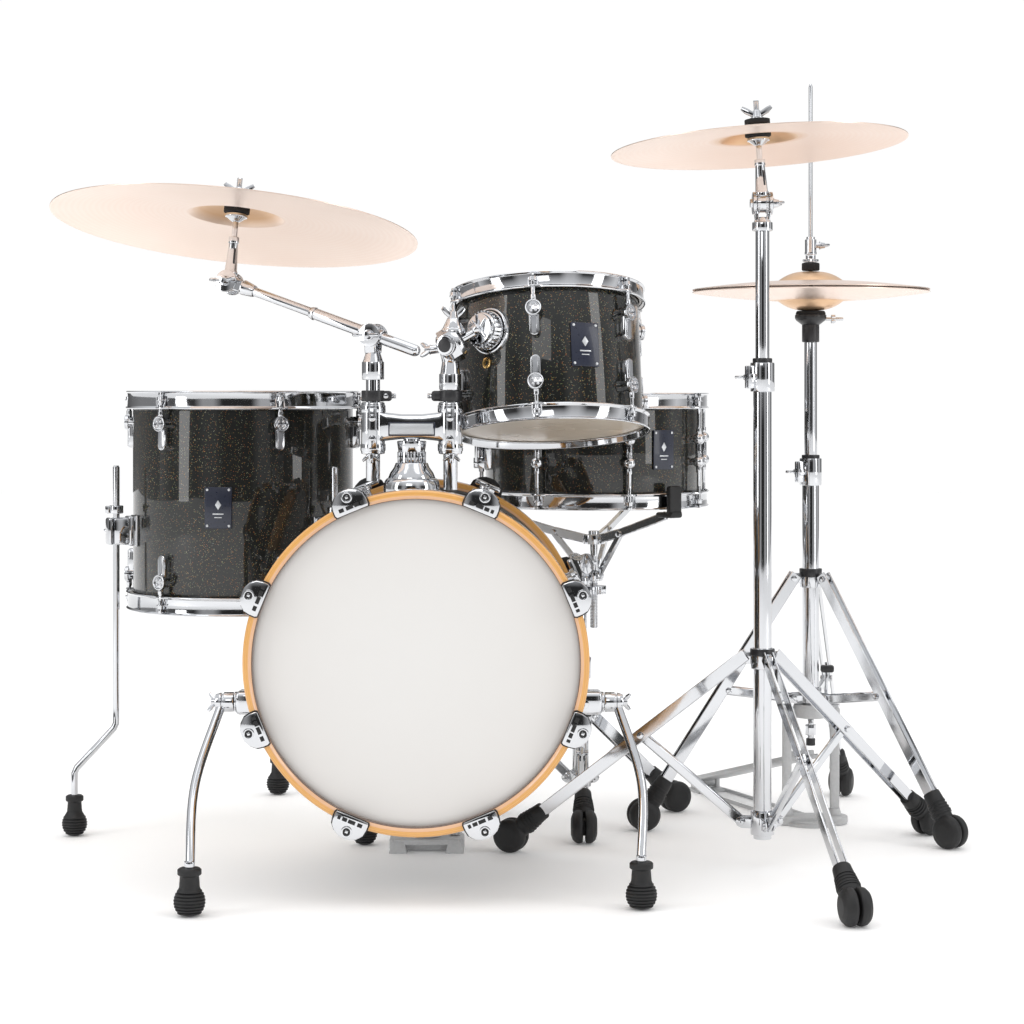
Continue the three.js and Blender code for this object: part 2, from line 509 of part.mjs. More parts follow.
// Pairs of ears with a pin, around a brace's end.
function clevises(stand, height, azimuths) {
  const near = BRACE_THICK / 2 + 0.5;
  const [low, high] = [height - 8, height + 8];
  return azimuths.flatMap((a) => [
    block([STAND_TUBE + 2, near, low], [stand.pivot + 8, near + STRIP.thick, high]),
    block([STAND_TUBE + 2, -near - STRIP.thick, low], [stand.pivot + 8, -near, high]),
    rod([stand.pivot, -near - 1, height], [stand.pivot, near + 1, height], PIN, PIN_SIDES),
  ].map((g) => g.rotateZ(deg(a))));
}

function standGroup(stand, azimuth = 0) {
  const group = place(stand.x, stand.y, 0);
  group.rotation.z = deg(azimuth);
  return group;
}

// ---------- Crash stand ----------
// Leg and brace have equal lengths up to the brace's pivot, half way up, so the collar slides straight.
const crashLine = legLine(CRASH_STAND);
const crashSlope = (CRASH_STAND.collar - FOOT.radius) / (CRASH_STAND.reach - CRASH_STAND.pivot);
const crashHalf = (CRASH_STAND.collar - CRASH_STAND.hub) / 2;
const crashJoin = reachOf(CRASH_STAND.pivot + crashHalf / crashSlope, CRASH_STAND.hub + crashHalf);
const hubTall = 13;
const crash = standGroup(CRASH_STAND);
const innerTube = TUBE + FIT;
const baseTube = join(
  ring(innerTube, STAND_TUBE, CRASH_TUBES.lower, CRASH_TUBES.split),
  ring(innerTube, STAND_TUBE + 4, CRASH_STAND.hub - hubTall, CRASH_STAND.hub + hubTall),
  ring(innerTube, STAND_TUBE + 4, CRASH_TUBES.split - 42, CRASH_TUBES.split),
  ...clevises(CRASH_STAND, CRASH_STAND.hub, CRASH_STAND.azimuths));
node("crash_base_tube", baseTube, CHROME, crash);
const slideBore = STAND_TUBE + FIT;
const sliding = (stand) => join(ring(slideBore, STAND_TUBE + 4, stand.collar - 16, stand.collar + 14),
  ...ears(stand, stand.collar, stand.azimuths));
node("crash_collar", sliding(CRASH_STAND), CHROME, crash);
CRASH_STAND.azimuths.forEach((azimuth, i) => {
  const group = standGroup(CRASH_STAND, azimuth);
  node(`crash_leg_${i + 1}`, tripodLeg(CRASH_STAND, [crashJoin]), CHROME, group);
  node(`crash_brace_${i + 1}`, brace(reachOf(CRASH_STAND.pivot, CRASH_STAND.hub), crashJoin), CHROME, group);
});

const crashPivot = new THREE.Vector3(CRASH_STAND.x, CRASH_STAND.y, CRASH_TUBES.pivot);
const crashAxis = new THREE.Vector3(-1, 0, 0);
const crashFoot = crashPivot.clone().setZ(CRASH_TUBES.pivot - 24);
const upperTube = join(
  cylinder(TUBE, CRASH_TUBES.split - 90, crashFoot.z).translate(crashPivot.x, crashPivot.y, 0),
  cylinder(14, crashFoot.z - 14, crashFoot.z + 5).translate(crashPivot.x, crashPivot.y, 0),
  ...yoke(crashPivot, crashAxis, crashFoot), ...fork(crashPivot, crashAxis));
node("crash_upper_tube", upperTube, CHROME, kit);
const crashUp = new THREE.Vector3(0, 0, 1)
  .applyEuler(new THREE.Euler(-deg(CRASH_LEAN.frontUp), deg(CRASH_LEAN.lean), 0));
node("crash_tilter", tilter(crashPivot, crashAxis, crashUp, CRASH.above), CHROME, kit);
cymbalNode("crash_cymbal", CRASH, crashPivot.clone().addScaledVector(crashUp, CRASH.above), crashUp);

// ---------- Hi-hat ----------
const hat = standGroup(HAT_STAND);
const rodBore = PIN + 1.2;
const hatJoin = reachOf(HAT_JOIN.radius, HAT_JOIN.height);
// The casting at the foot: a round base, two posts and a ring under the tube.
const bridgeSide = HAT_CASTING.postAt + 6;
const castingPosts = [-1, 1].map((side) => cylinder(HAT_CASTING.post, 4, HAT_TUBES.bottom - 6, ROD_SIDES)
  .translate(side * HAT_CASTING.postAt, 0, 0));
const castingRing = [ring(innerTube, HAT_CASTING.ring, HAT_CASTING.ringLow, HAT_TUBES.bottom),
  cut(block([-bridgeSide, -8, HAT_CASTING.ringLow], [bridgeSide, 8, HAT_TUBES.bottom - 5]),
    cylinder(innerTube + 1, HAT_CASTING.ringLow - 5, HAT_TUBES.bottom))];
const castingBase = join(block([-bridgeSide - 4, -20, 0], [bridgeSide + 4, 20, HAT_CASTING.baseHigh]),
  cylinder(HAT_CASTING.base / 2 + 10, 0, HAT_CASTING.baseHigh / 2));
const heelAt = HAT_BOARD.toeOut + HAT_BOARD.long;
const heelSide = HAT_BOARD.wide / 2 - 9;
const railSide = HAT_BOARD.wide / 2 - 5;
// The heel plate lies on the floor behind the casting, with two rails to it and ears for the heel's pin.
const heelPlate = [
  block([-16, -HAT_BOARD.wide / 2, -HAT_BOARD.heelZ], [30, HAT_BOARD.wide / 2, -HAT_BOARD.heelZ + 4]),
  ...[-1, 1].map((side) => block([-7, side * heelSide - 4, -HAT_BOARD.heelZ], [7, side * heelSide + 4, 7])),
  rod([0, -heelSide - 1, 0], [0, heelSide + 1, 0], PIN, PIN_SIDES),
  ...[-1, 1].map((side) => block([0, side * railSide - 3, -HAT_BOARD.heelZ],
    [heelAt - HAT_CASTING.base / 2, side * railSide + 3, -HAT_BOARD.heelZ + 5])),
].map((g) => g.rotateZ(Math.PI).translate(heelAt, 0, HAT_BOARD.heelZ).rotateZ(deg(HAT_BOARD.azimuth)));
const hatTube = join(ring(innerTube, STAND_TUBE, HAT_TUBES.bottom - 8, HAT_TUBES.split),
  ring(innerTube, STAND_TUBE + 4, HAT_TUBES.split - 43, HAT_TUBES.split),
  ring(innerTube, STAND_TUBE + 4, HAT_STAND.collar - 16, HAT_STAND.collar + 14),
  ring(innerTube, STAND_TUBE + 4, HAT_STAND.hub - 8, HAT_STAND.hub + hubTall),
  ...ears(HAT_STAND, HAT_STAND.collar, HAT_STAND.azimuths),
  ...clevises(HAT_STAND, HAT_STAND.hub, HAT_STAND.azimuths));
node("hat_base", join(castingBase, ...castingPosts, ...castingRing, hatTube, ...heelPlate), CAST, hat);
HAT_STAND.azimuths.forEach((azimuth, i) => {
  const line = legLine(HAT_STAND);
  const strut = brace(reachOf(HAT_STAND.pivot, HAT_STAND.hub), hatJoin);
  const leg = join(tripodLeg(HAT_STAND, [line.top]), strut,
    rod(sideways(hatJoin, -STRIP.inner), sideways(hatJoin, STRIP.inner), PIN + 2, PIN_SIDES));
  node(`hat_leg_${i + 1}`, leg, CHROME, standGroup(HAT_STAND, azimuth));
});
const hatBell = HAT.bellHigh + HAT.bow;
const lowerHole = HAT_TUBES.edge - GAP - CYMBAL.wall - hatBell;
const seat = lowerHole - CYMBAL.wall - GAP - HAT_SEAT.high;
const hatUpper = join(ring(rodBore, TUBE, HAT_TUBES.split - 100, seat),
  ring(rodBore, HAT_SEAT.sleeve, seat - 28, seat),
  ring(rodBore, HAT_SEAT.radius, seat, seat + HAT_SEAT.high));
node("hat_upper_tube", hatUpper, CHROME, hat);
const lowerCymbal = cymbal(HAT).rotateX(Math.PI).translate(0, 0, lowerHole);
node("hat_bottom_cymbal", lowerCymbal, BRONZE, hat);
const upperHole = HAT_TUBES.edge + GAP + hatBell;
node("hat_top_cymbal", cymbal(HAT).translate(0, 0, upperHole), BRONZE, hat);
const clutchLow = upperHole + CYMBAL.wall + 1;
const pullRod = join(cylinder(PIN, HAT_TUBES.pull, HAT_TUBES.rodTop, PIN_SIDES),
  cylinder(6, HAT_TUBES.pull - 4, HAT_TUBES.pull + 36, PIN_SIDES),
  cylinder(13, clutchLow, clutchLow + 13, ROD_SIDES), cylinder(7, clutchLow, clutchLow + 30, ROD_SIDES),
  cylinder(9, clutchLow + 24, clutchLow + 48, ROD_SIDES));
node("hat_pull_rod", pullRod, CHROME, hat);

// ---------- Snare drum, basket and stand ----------
const snareMiddle = SNARE_AT.base + SNARE.rise + FILM + GAP + SNARE.depth / 2;
const snareGroup = place(SNARE_AT.x, SNARE_AT.y, snareMiddle);
const leverOut = SNARE.radius + LEVER.out;
// The strainer's body, with a cheek on each side of the lever's pin.
const cheekAt = LEVER.wide / 2 + 2 + GAP + LEVER.cheek / 2;
const strainer = [shellBlock(SNARE, LEVER.azimuth, leverOut - 10, 30, -30, 34),
  ...[-1, 1].map((side) => block([SNARE.radius, side * cheekAt - LEVER.cheek / 2, LEVER.pin - 8],
    [leverOut, side * cheekAt + LEVER.cheek / 2, LEVER.pin + 8]).rotateZ(deg(LEVER.azimuth)))];
const snareBore = cylinder(SNARE.radius - SNARE.wall, -SNARE.depth, SNARE.depth, DRUM_SIDES);
drum("snare", ["top", "bottom"], SNARE, metalHoops, snareGroup, strainer, [snareBore]);
const leverSide = LEVER.wide / 2;
const leverPlate = block([leverOut - LEVER.thick, -leverSide, LEVER.low],
  [leverOut, leverSide, LEVER.low + LEVER.long]);
const leverPin = rod([leverOut - 3, -leverSide - 2, LEVER.pin], [leverOut - 3, leverSide + 2, LEVER.pin], 3.5,
  PIN_SIDES);
const lever = join(leverPlate, leverPin).rotateZ(deg(LEVER.azimuth));
node("snare_strainer_lever", lever, CHROME, snareGroup);

const snareStand = standGroup(SNARE_STAND);
const snareJoin = reachOf(SNARE_JOIN.radius, SNARE_JOIN.height);
const lugEnd = reachOf(SNARE_STAND.pivot + 6, SNARE_STAND.collar - 3);
const snareLeg = [tripodLeg(SNARE_STAND, []),
  bar(reachOf(STAND_TUBE + 1, SNARE_STAND.collar), lugEnd, 14, 14),
  bar(reachOf(STAND_TUBE + 1, SNARE_STAND.hub), snareJoin, 13, BRACE_THICK),
  rod(sideways(snareJoin, -STRIP.inner), sideways(snareJoin, STRIP.inner), PIN + 2, PIN_SIDES)];
const snareBase = join(ring(innerTube, STAND_TUBE, SNARE_STAND.hub - 20, SNARE_POST.split),
  ring(innerTube, STAND_TUBE + 4, SNARE_POST.split - 34, SNARE_POST.split),
  ring(innerTube, STAND_TUBE + 4, SNARE_STAND.hub - 10, SNARE_STAND.hub + 10),
  ring(innerTube, STAND_TUBE + 4, SNARE_STAND.collar - 14, SNARE_STAND.collar + 12),
  ...SNARE_STAND.azimuths.flatMap((azimuth) => snareLeg.map((g) => g.clone().rotateZ(deg(azimuth)))));
node("snare_stand_base", snareBase, CHROME, snareStand);

// The basket's screw stands beside the tube; its tilter turns square to the line between them.
const basketOffset = new THREE.Vector3(SNARE_AT.x - SNARE_STAND.x, SNARE_AT.y - SNARE_STAND.y, 0);
const basketAxis = basketOffset.clone().cross(new THREE.Vector3(0, 0, 1)).normalize();
const basketPivot = new THREE.Vector3(SNARE_STAND.x, SNARE_STAND.y, SNARE_POST.top + 18);
const snarePost = join(
  cylinder(TUBE, SNARE_POST.low, SNARE_POST.top).translate(SNARE_STAND.x, SNARE_STAND.y, 0),
  ...yoke(basketPivot, basketAxis, basketPivot.clone().setZ(SNARE_POST.top - 4)),
  cylinder(15, SNARE_POST.top - 14, SNARE_POST.top).translate(SNARE_STAND.x, SNARE_STAND.y, 0),
  ...fork(basketPivot, basketAxis));
node("snare_post", snarePost, CHROME, kit);

// The basket: a centre screw with a hub, three arms on it, and three struts from a lower hub.
function basketArm(azimuth) {
  const reach = SNARE.radius + SNARE.hoopOut;
  const low = SNARE_AT.base - BASKET.clear;
  const knee = reachOf(BASKET.knee, BASKET.hub + 12);
  const claw = [bar(reachOf(reach - 18, low - 3), reachOf(reach + 14, low - 3), 24, 8, [0, 0, 1]),
    block([reach + 4, -12, low - 7], [reach + 14, 12, low + 40])];
  return [bar(reachOf(8, BASKET.hub), knee, BASKET.arm, 14),
    bar(knee, reachOf(reach - 6, low - 4), BASKET.arm, 14),
    bar(reachOf(8, BASKET.lower), knee, BASKET.arm, 10), ...claw].map((g) => g.rotateZ(deg(azimuth)));
}
const basketKnuckle = knuckle(basketPivot, basketAxis);
const toBasket = (g) => g.translate(SNARE_AT.x, SNARE_AT.y, 0);
const basketBody = [toBasket(cylinder(6, BASKET.end, BASKET.hub + 8, ROD_SIDES)),
  toBasket(cylinder(BASKET.hubRadius, BASKET.hub - 7, BASKET.hub + 7)),
  toBasket(cylinder(BASKET.lowerRadius, BASKET.lower - 7, BASKET.lower + 7)),
  ...BASKET.azimuths.flatMap(basketArm).map(toBasket)];
const linkStart = basketPivot.clone().addScaledVector(basketOffset, 0.35);
const tilterLink = rod(linkStart, basketPivot.clone().add(basketOffset), 6);
const basketTilter = cut(basketKnuckle.outer, basketKnuckle.bore);
node("snare_basket", join(basketTilter, tilterLink, ...basketBody), CHROME, kit);

// ---------- Pedals ----------
const sideX = PEDAL.wide / 2;
const axleAt = (x) => [x, PEDAL.axleY, PEDAL.axleZ];
const heelPin = (x) => [x, BOARD.heelY, BOARD.heelZ];
const frameParts = [
  block([-sideX + 8, PEDAL.front, 0], [sideX - 8, PEDAL.back, PEDAL.plate]),
  ...[-1, 1].map((side) => block([Math.min(side * (sideX - 9), side * sideX), PEDAL.axleY - 12, 0],
    [Math.max(side * (sideX - 9), side * sideX), PEDAL.axleY + 12, PEDAL.axleZ + 14])),
  block([-sideX, PEDAL.axleY - 14, 0], [sideX, PEDAL.axleY + 14, PEDAL.plate + 3]),
  ...[-1, 1].map((side) => block([side * (BOARD.wide / 2 - 9) - 4, BOARD.heelY - 8, 0],
    [side * (BOARD.wide / 2 - 9) + 4, PEDAL.back, BOARD.heelZ + 8])),
  rod(heelPin(-BOARD.wide / 2 + 8), heelPin(BOARD.wide / 2 - 8), PIN, PIN_SIDES),
];
const axleBore = rod(axleAt(-80), axleAt(80), PEDAL.axle + FIT + 0.2, TUBE_SIDES);
node("pedal_frame", cut(join(...frameParts), axleBore), CAST, kit);

// A footboard in its own frame: the heel pin at the origin, the board along +X, rising to the toe.
function footboard(size, long, rise) {
  const board = bar([2, 0, 5], [long, 0, rise + 5], size.wide, size.thick, [0, 0, 1]);
  const cleared = [-1, 1].map((side) => block([-12, side * (size.wide / 2 - 9) - 5, -12],
    [14, side * (size.wide / 2 - 9) + 5, 20]));
  const heel = rod([0, -size.wide / 2 + 15, 0], [0, size.wide / 2 - 15, 0], 8, TUBE_SIDES);
  const pinBore = rod([0, -60, 0], [0, 60, 0], PIN + FIT + 0.2);
  return cut(join(cut(board, ...cleared), heel), pinBore);
}
const boardGroup = place(0, BOARD.heelY, BOARD.heelZ);
boardGroup.rotation.z = deg(-90);
node("pedal_footboard", footboard(BOARD, BOARD.heelY - BOARD.toeY, BOARD.toeZ - BOARD.heelZ), CAST, boardGroup);

const back = deg(PEDAL_BACK);
const beaterAt = (d) => [0, PEDAL.axleY + d * Math.sin(back), PEDAL.axleZ + d * Math.cos(back)];
const across = new THREE.Vector3(0, Math.cos(back), -Math.sin(back));
const beaterEnd = vec(beaterAt(PEDAL.beater));
const beater = join(
  rod(axleAt(-sideX + 1), axleAt(sideX - 1), PEDAL.axle, TUBE_SIDES),
  rod(axleAt(-10), axleAt(10), 22, TUBE_SIDES),
  rod(beaterAt(-14), beaterAt(PEDAL.beater + 12), 4, PIN_SIDES),
  rod(beaterEnd.clone().addScaledVector(across, -26), beaterEnd.clone().addScaledVector(across, 20), 20,
    TUBE_SIDES));
node("pedal_beater", beater, CHROME, kit);

// The hi-hat's footboard runs back from the casting to its heel plate.
const hatBoard = standGroup(HAT_STAND, HAT_BOARD.azimuth);
const heelGroup = place(heelAt, 0, HAT_BOARD.heelZ, hatBoard);
heelGroup.rotation.z = Math.PI;
node("hat_footboard", footboard(HAT_BOARD, HAT_BOARD.long, HAT_BOARD.toeZ - HAT_BOARD.heelZ), CAST, heelGroup);

export default kit;
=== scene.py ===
"""Compact acoustic drum kit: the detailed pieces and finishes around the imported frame.

Shapes are drawn in millimetres and each finished piece is stored in metres.
"""
import math

import bmesh
import bpy
from mathutils import Matrix, Vector


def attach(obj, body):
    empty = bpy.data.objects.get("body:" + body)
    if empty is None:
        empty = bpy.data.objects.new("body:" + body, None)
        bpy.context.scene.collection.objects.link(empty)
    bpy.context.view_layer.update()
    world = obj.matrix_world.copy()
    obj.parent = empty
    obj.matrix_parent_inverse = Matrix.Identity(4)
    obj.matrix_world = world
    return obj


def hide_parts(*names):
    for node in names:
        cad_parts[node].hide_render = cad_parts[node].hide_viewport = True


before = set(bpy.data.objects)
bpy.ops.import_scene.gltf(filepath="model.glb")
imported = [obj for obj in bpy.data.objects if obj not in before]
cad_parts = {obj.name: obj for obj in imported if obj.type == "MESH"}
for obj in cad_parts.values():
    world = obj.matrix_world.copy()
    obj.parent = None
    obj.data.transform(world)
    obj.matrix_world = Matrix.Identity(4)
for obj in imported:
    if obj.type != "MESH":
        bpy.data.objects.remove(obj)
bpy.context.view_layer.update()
scene = bpy.context.scene
TURN = 2 * math.pi

# ---------- Camera and light ----------
camera = bpy.data.objects.new("camera", bpy.data.cameras.new("camera"))
camera.location = (0.121, -3.367, 0.650)
camera.rotation_euler = (math.pi / 2, 0, 0)
camera.data.lens = 82.6
camera.data.shift_y = -0.116
camera.data.clip_end = 50
scene.collection.objects.link(camera)
scene.camera = camera
scene.view_settings.view_transform = "Standard"


def soft_light(name, place, target, size, watts):
    light = bpy.data.lights.new(name, "AREA")
    light.shape = "RECTANGLE"
    light.size, light.size_y = size
    light.energy = watts
    lamp = bpy.data.objects.new(name, light)
    lamp.location = place
    lamp.rotation_euler = (Vector(target) - Vector(place)).to_track_quat("-Z", "Y").to_euler()
    scene.collection.objects.link(lamp)


soft_light("overhead", (0.1, -0.4, 3.2), (0.1, 0, 0.4), (3.6, 2.6), 26)
soft_light("left_box", (-2.9, -1.6, 1.5), (0, 0, 0.5), (0.7, 2.4), 20)
soft_light("right_box", (3.0, -1.5, 1.4), (0.1, 0, 0.5), (0.7, 2.4), 18)
soft_light("front_box", (-0.7, -4.6, 2.6), (0.1, 0, 0.5), (2.0, 1.0), 12)


# ---------- Node trees ----------
class Value:
    """A number that varies over a surface. Arithmetic on it adds Math nodes."""

    def __init__(self, nodes, socket):
        self.nodes, self.socket = nodes, socket

    def math(self, operation, *others):
        node = self.nodes.node("ShaderNodeMath", {"operation": operation}, {0: self.socket})
        for index, other in enumerate(others, 1):
            self.nodes.feed(node.inputs[index], other)
        return Value(self.nodes, node.outputs[0])

    def __add__(self, other):
        return self.math("ADD", other)

    def __sub__(self, other):
        return self.math("SUBTRACT", other)

    def __mul__(self, other):
        return self.math("MULTIPLY", other)

    __radd__, __rmul__ = __add__, __mul__

    def __rsub__(self, other):
        return self * -1 + other

    def above(self, limit):
        return self.math("GREATER_THAN", limit)

    def below(self, limit):
        return self.math("LESS_THAN", limit)


class Nodes:
    """A node tree. One method adds any node, with its settings and what its sockets hold."""

    def __init__(self, tree):
        self.tree = tree

    def feed(self, socket, value):
        if isinstance(value, Value):
            value = value.socket
        if isinstance(value, bpy.types.NodeSocket):
            self.tree.links.new(value, socket)
        else:
            socket.default_value = value

    def node(self, kind, settings=None, inputs=None):
        node = self.tree.nodes.new(kind)
        for key, value in (settings or {}).items():
            setattr(node, key, value)
        for key, value in (inputs or {}).items():
            self.feed(node.inputs[key], value)
        return node

    def mix(self, factor, low, high):
        node = self.node("ShaderNodeMix", {"data_type": "RGBA"}, {"Factor": factor})
        self.feed(node.inputs[6], low)
        self.feed(node.inputs[7], high)
        return node.outputs[2]

    def ramp(self, factor, stops):
        node = self.node("ShaderNodeValToRGB", None, {"Fac": factor})
        elements = node.color_ramp.elements
        while len(elements) < len(stops):
            elements.new(1)
        for element, (position, color) in zip(elements, stops):
            element.position, element.color = position, (*color, 1)
        return node.outputs["Color"]


def studio_world():
    """A white surround to look at, with dark upright flags between soft panels for the plating to mirror."""
    world = bpy.data.worlds.new("studio")
    world.use_nodes = True
    nodes = Nodes(world.node_tree)
    direction = nodes.node("ShaderNodeTexCoord").outputs["Generated"]
    turn = nodes.node("ShaderNodeTexGradient", {"gradient_type": "RADIAL"},
                      {"Vector": direction}).outputs["Fac"]
    levels = [(0.0, 0.80), (0.05, 0.12), (0.13, 0.04), (0.155, 0.42), (0.185, 0.42), (0.21, 0.03),
              (0.29, 0.03), (0.315, 0.55), (0.34, 0.55), (0.37, 0.05), (0.45, 0.10), (0.50, 0.90),
              (0.60, 0.10), (0.72, 0.85), (0.80, 0.08), (0.93, 0.30)]
    bands = nodes.ramp(turn, [(position, (level, level, level * 1.01)) for position, level in levels])
    height = nodes.node("ShaderNodeSeparateXYZ", None, {0: direction}).outputs["Z"]
    rise = {"Value": height, "From Min": 0.22, "From Max": 0.6, "To Min": 0.0, "To Max": 1.0}
    lift = nodes.node("ShaderNodeMapRange", None, rise).outputs["Result"]
    sky = nodes.mix(lift, bands, (0.95, 0.96, 0.98, 1))
    mirrored = nodes.node("ShaderNodeLightPath").outputs["Is Glossy Ray"]
    panel = world.node_tree.nodes["Background"]
    nodes.feed(panel.inputs["Color"], nodes.mix(mirrored, (1.12, 1.12, 1.12, 1), sky))
    nodes.feed(panel.inputs["Strength"], 0.9)
    scene.world = world


studio_world()


# ---------- Finishes ----------
class Finish(Nodes):
    """A material on one Principled shader, drawn in object coordinates."""

    def __init__(self, name, color, roughness, metallic=0.0, coat=0.0, coat_roughness=0.03):
        self.material = bpy.data.materials.new(name)
        self.material.use_nodes = True
        super().__init__(self.material.node_tree)
        self.shader = self.tree.nodes["Principled BSDF"]
        self.color = (*color, 1)
        sockets = {"Base Color": self.color, "Roughness": roughness, "Metallic": metallic,
                   "Coat Weight": coat, "Coat Roughness": coat_roughness, "IOR": 1.5}
        for key, value in sockets.items():
            self.shader.inputs[key].default_value = value
        self.place = self.node("ShaderNodeTexCoord").outputs["Object"]

    def noise(self, scale, detail=3.0, vector=None):
        node = self.node("ShaderNodeTexNoise", None,
                         {"Vector": vector or self.place, "Scale": scale, "Detail": detail})
        return Value(self, node.outputs["Fac"])

    def radius(self, centre, axis):
        """Distance in metres from an axis through a point."""
        shift = self.node("ShaderNodeVectorMath", {"operation": "SUBTRACT"},
                          {0: self.place, 1: centre}).outputs[0]
        along = self.node("ShaderNodeVectorMath", {"operation": "DOT_PRODUCT"},
                          {0: shift, 1: axis}).outputs["Value"]
        drop = self.node("ShaderNodeVectorMath", {"operation": "SCALE"}, {0: axis, "Scale": along}).outputs[0]
        flat = self.node("ShaderNodeVectorMath", {"operation": "SUBTRACT"}, {0: shift, 1: drop}).outputs[0]
        length = self.node("ShaderNodeVectorMath", {"operation": "LENGTH"}, {0: flat}).outputs["Value"]
        return Value(self, length)

    def set(self, socket, value):
        self.feed(self.shader.inputs[socket], value)

    def bump(self, height, distance, strength=1.0):
        node = self.node("ShaderNodeBump", None,
                         {"Height": height, "Distance": distance, "Strength": strength})
        self.feed(self.shader.inputs["Normal"], node.outputs["Normal"])


def sparkle_lacquer():
    finish = Finish("sparkle_lacquer", (0.010, 0.011, 0.010), 0.32, coat=1.0, coat_roughness=0.02)
    flake = finish.node("ShaderNodeTexVoronoi", {"feature": "F1"},
                        {"Vector": finish.place, "Scale": 860.0, "Randomness": 1.0})
    split = finish.node("ShaderNodeSeparateColor", None, {"Color": flake.outputs["Color"]})
    chance = Value(finish, split.outputs[0])
    hue = Value(finish, split.outputs[1])
    bright = finish.ramp(hue, [(0.0, (0.9, 0.55, 0.12)), (0.3, (0.75, 0.2, 0.06)), (0.55, (0.35, 0.5, 0.2)),
                               (0.8, (0.8, 0.7, 0.45)), (1.0, (0.3, 0.42, 0.4))])
    drift = finish.noise(9.0)
    shown = chance.above(0.87) * Value(finish, flake.outputs["Distance"]).below(0.40) * (drift * 0.8 + 0.05)
    finish.set("Base Color", finish.mix(shown, finish.color, bright))
    finish.set("Specular IOR Level", 0.15)
    finish.set("Roughness", shown * -0.1 + 0.34)
    return finish


def maple():
    finish = Finish("honey_maple", (0.62, 0.33, 0.085), 0.3, coat=0.9, coat_roughness=0.06)
    radius = finish.radius((0, 0, 0.309), (0, 1, 0))
    grain = finish.noise(38.0, 4.0)
    rings = (radius * 2600.0 + grain * 9.0).math("SINE") * 0.5 + 0.5
    body = finish.mix(rings * 0.5 + grain * 0.4, (0.70, 0.37, 0.095, 1), (0.54, 0.25, 0.055, 1))
    inner = finish.mix(radius.below(0.2118), body, (0.66, 0.38, 0.21, 1))
    finish.set("Base Color", finish.mix(radius.below(0.2079), inner, (0.10, 0.045, 0.02, 1)))
    finish.bump(rings, 0.00008, 0.3)
    return finish


def polished(name, color, roughness=0.05):
    finish = Finish(name, color, roughness, metallic=1.0)
    smear = finish.noise(46.0, 4.0)
    finish.set("Roughness", smear * 0.07 + (roughness - 0.02))
    return finish


def grained(name, color, roughness, scale, depth, spread=0.25, metallic=0.0, coat=0.0):
    finish = Finish(name, color, roughness, metallic=metallic, coat=coat)
    grain = finish.noise(scale, 5.0)
    dark = tuple(c * (1 - spread) for c in color)
    light = tuple(min(1.0, c * (1 + spread)) for c in color)
    finish.set("Base Color", finish.mix(grain, (*dark, 1), (*light, 1)))
    finish.set("Roughness", grain * 0.16 + (roughness - 0.08))
    finish.bump(grain, depth, 0.6)
    return finish


def drumhead(name, color, edge, centre, axis, reach, roughness):
    finish = Finish(name, color, roughness, coat=0.15, coat_roughness=0.3)
    fall = finish.radius(centre, axis) * (1 / reach)
    cloud = finish.noise(6.0)
    finish.set("Base Color", finish.mix((fall * fall * 0.75 + cloud * 0.25).math("MINIMUM", 1.0),
                                        finish.color, (*edge, 1)))
    finish.set("Roughness", cloud * 0.1 + (roughness - 0.05))
    finish.bump(finish.noise(900.0), 0.00004, 0.4)
    return finish


def turned_bronze(name, centre, axis):
    finish = Finish(name, (0.84, 0.60, 0.44), 0.34, metallic=0.92)
    radius = finish.radius(centre, axis)
    fine = (radius * 5200.0).math("SINE")
    broad = (radius * 760.0 + finish.noise(5.0) * 2.2).math("SINE")
    tone = (fine * 0.08 + broad * 0.08 + finish.noise(7.0) * 0.6 + 0.16).math("MINIMUM", 1.0)
    body = finish.mix(tone, (0.97, 0.82, 0.72, 1), (0.90, 0.71, 0.60, 1))
    bell = (radius * -42.0 + 2.9).math("MINIMUM", 0.75).math("MAXIMUM", 0.0)
    finish.set("Base Color", finish.mix(bell, body, (0.72, 0.43, 0.20, 1)))
    finish.set("Roughness", tone * 0.14 + 0.27)
    finish.bump(fine * 0.7 + broad * 0.3, 0.00006, 0.25)
    return finish


LACQUER = sparkle_lacquer()
MAPLE = maple()
CHROME = polished("chrome_plate", (0.64, 0.65, 0.67))
STEEL = polished("bright_steel", (0.66, 0.67, 0.69), 0.18)
BRASS = polished("brass_vent", (0.80, 0.52, 0.20), 0.16)
CAST = grained("grey_casting", (0.52, 0.525, 0.53), 0.5, 260.0, 0.0002, 0.12, metallic=0.35)
RUBBER = grained("black_rubber", (0.008, 0.008, 0.0085), 0.55, 420.0, 0.0002)
FELT = grained("pressed_felt", (0.013, 0.013, 0.014), 0.92, 900.0, 0.0009, 0.6)
MOULDED = grained("black_moulding", (0.02, 0.02, 0.022), 0.34, 600.0, 0.00006)
ENAMEL = grained("badge_enamel", (0.012, 0.016, 0.034), 0.3, 300.0, 0.00003, coat=0.25)
INSET = grained("lug_inset", (0.30, 0.31, 0.33), 0.42, 500.0, 0.00005, 0.1, metallic=0.6)
MARK = grained("badge_mark", (0.62, 0.64, 0.66), 0.35, 400.0, 0.00003, 0.05, metallic=0.5)
PAD = grained("beater_felt", (0.55, 0.53, 0.48), 0.9, 700.0, 0.0008, 0.2)


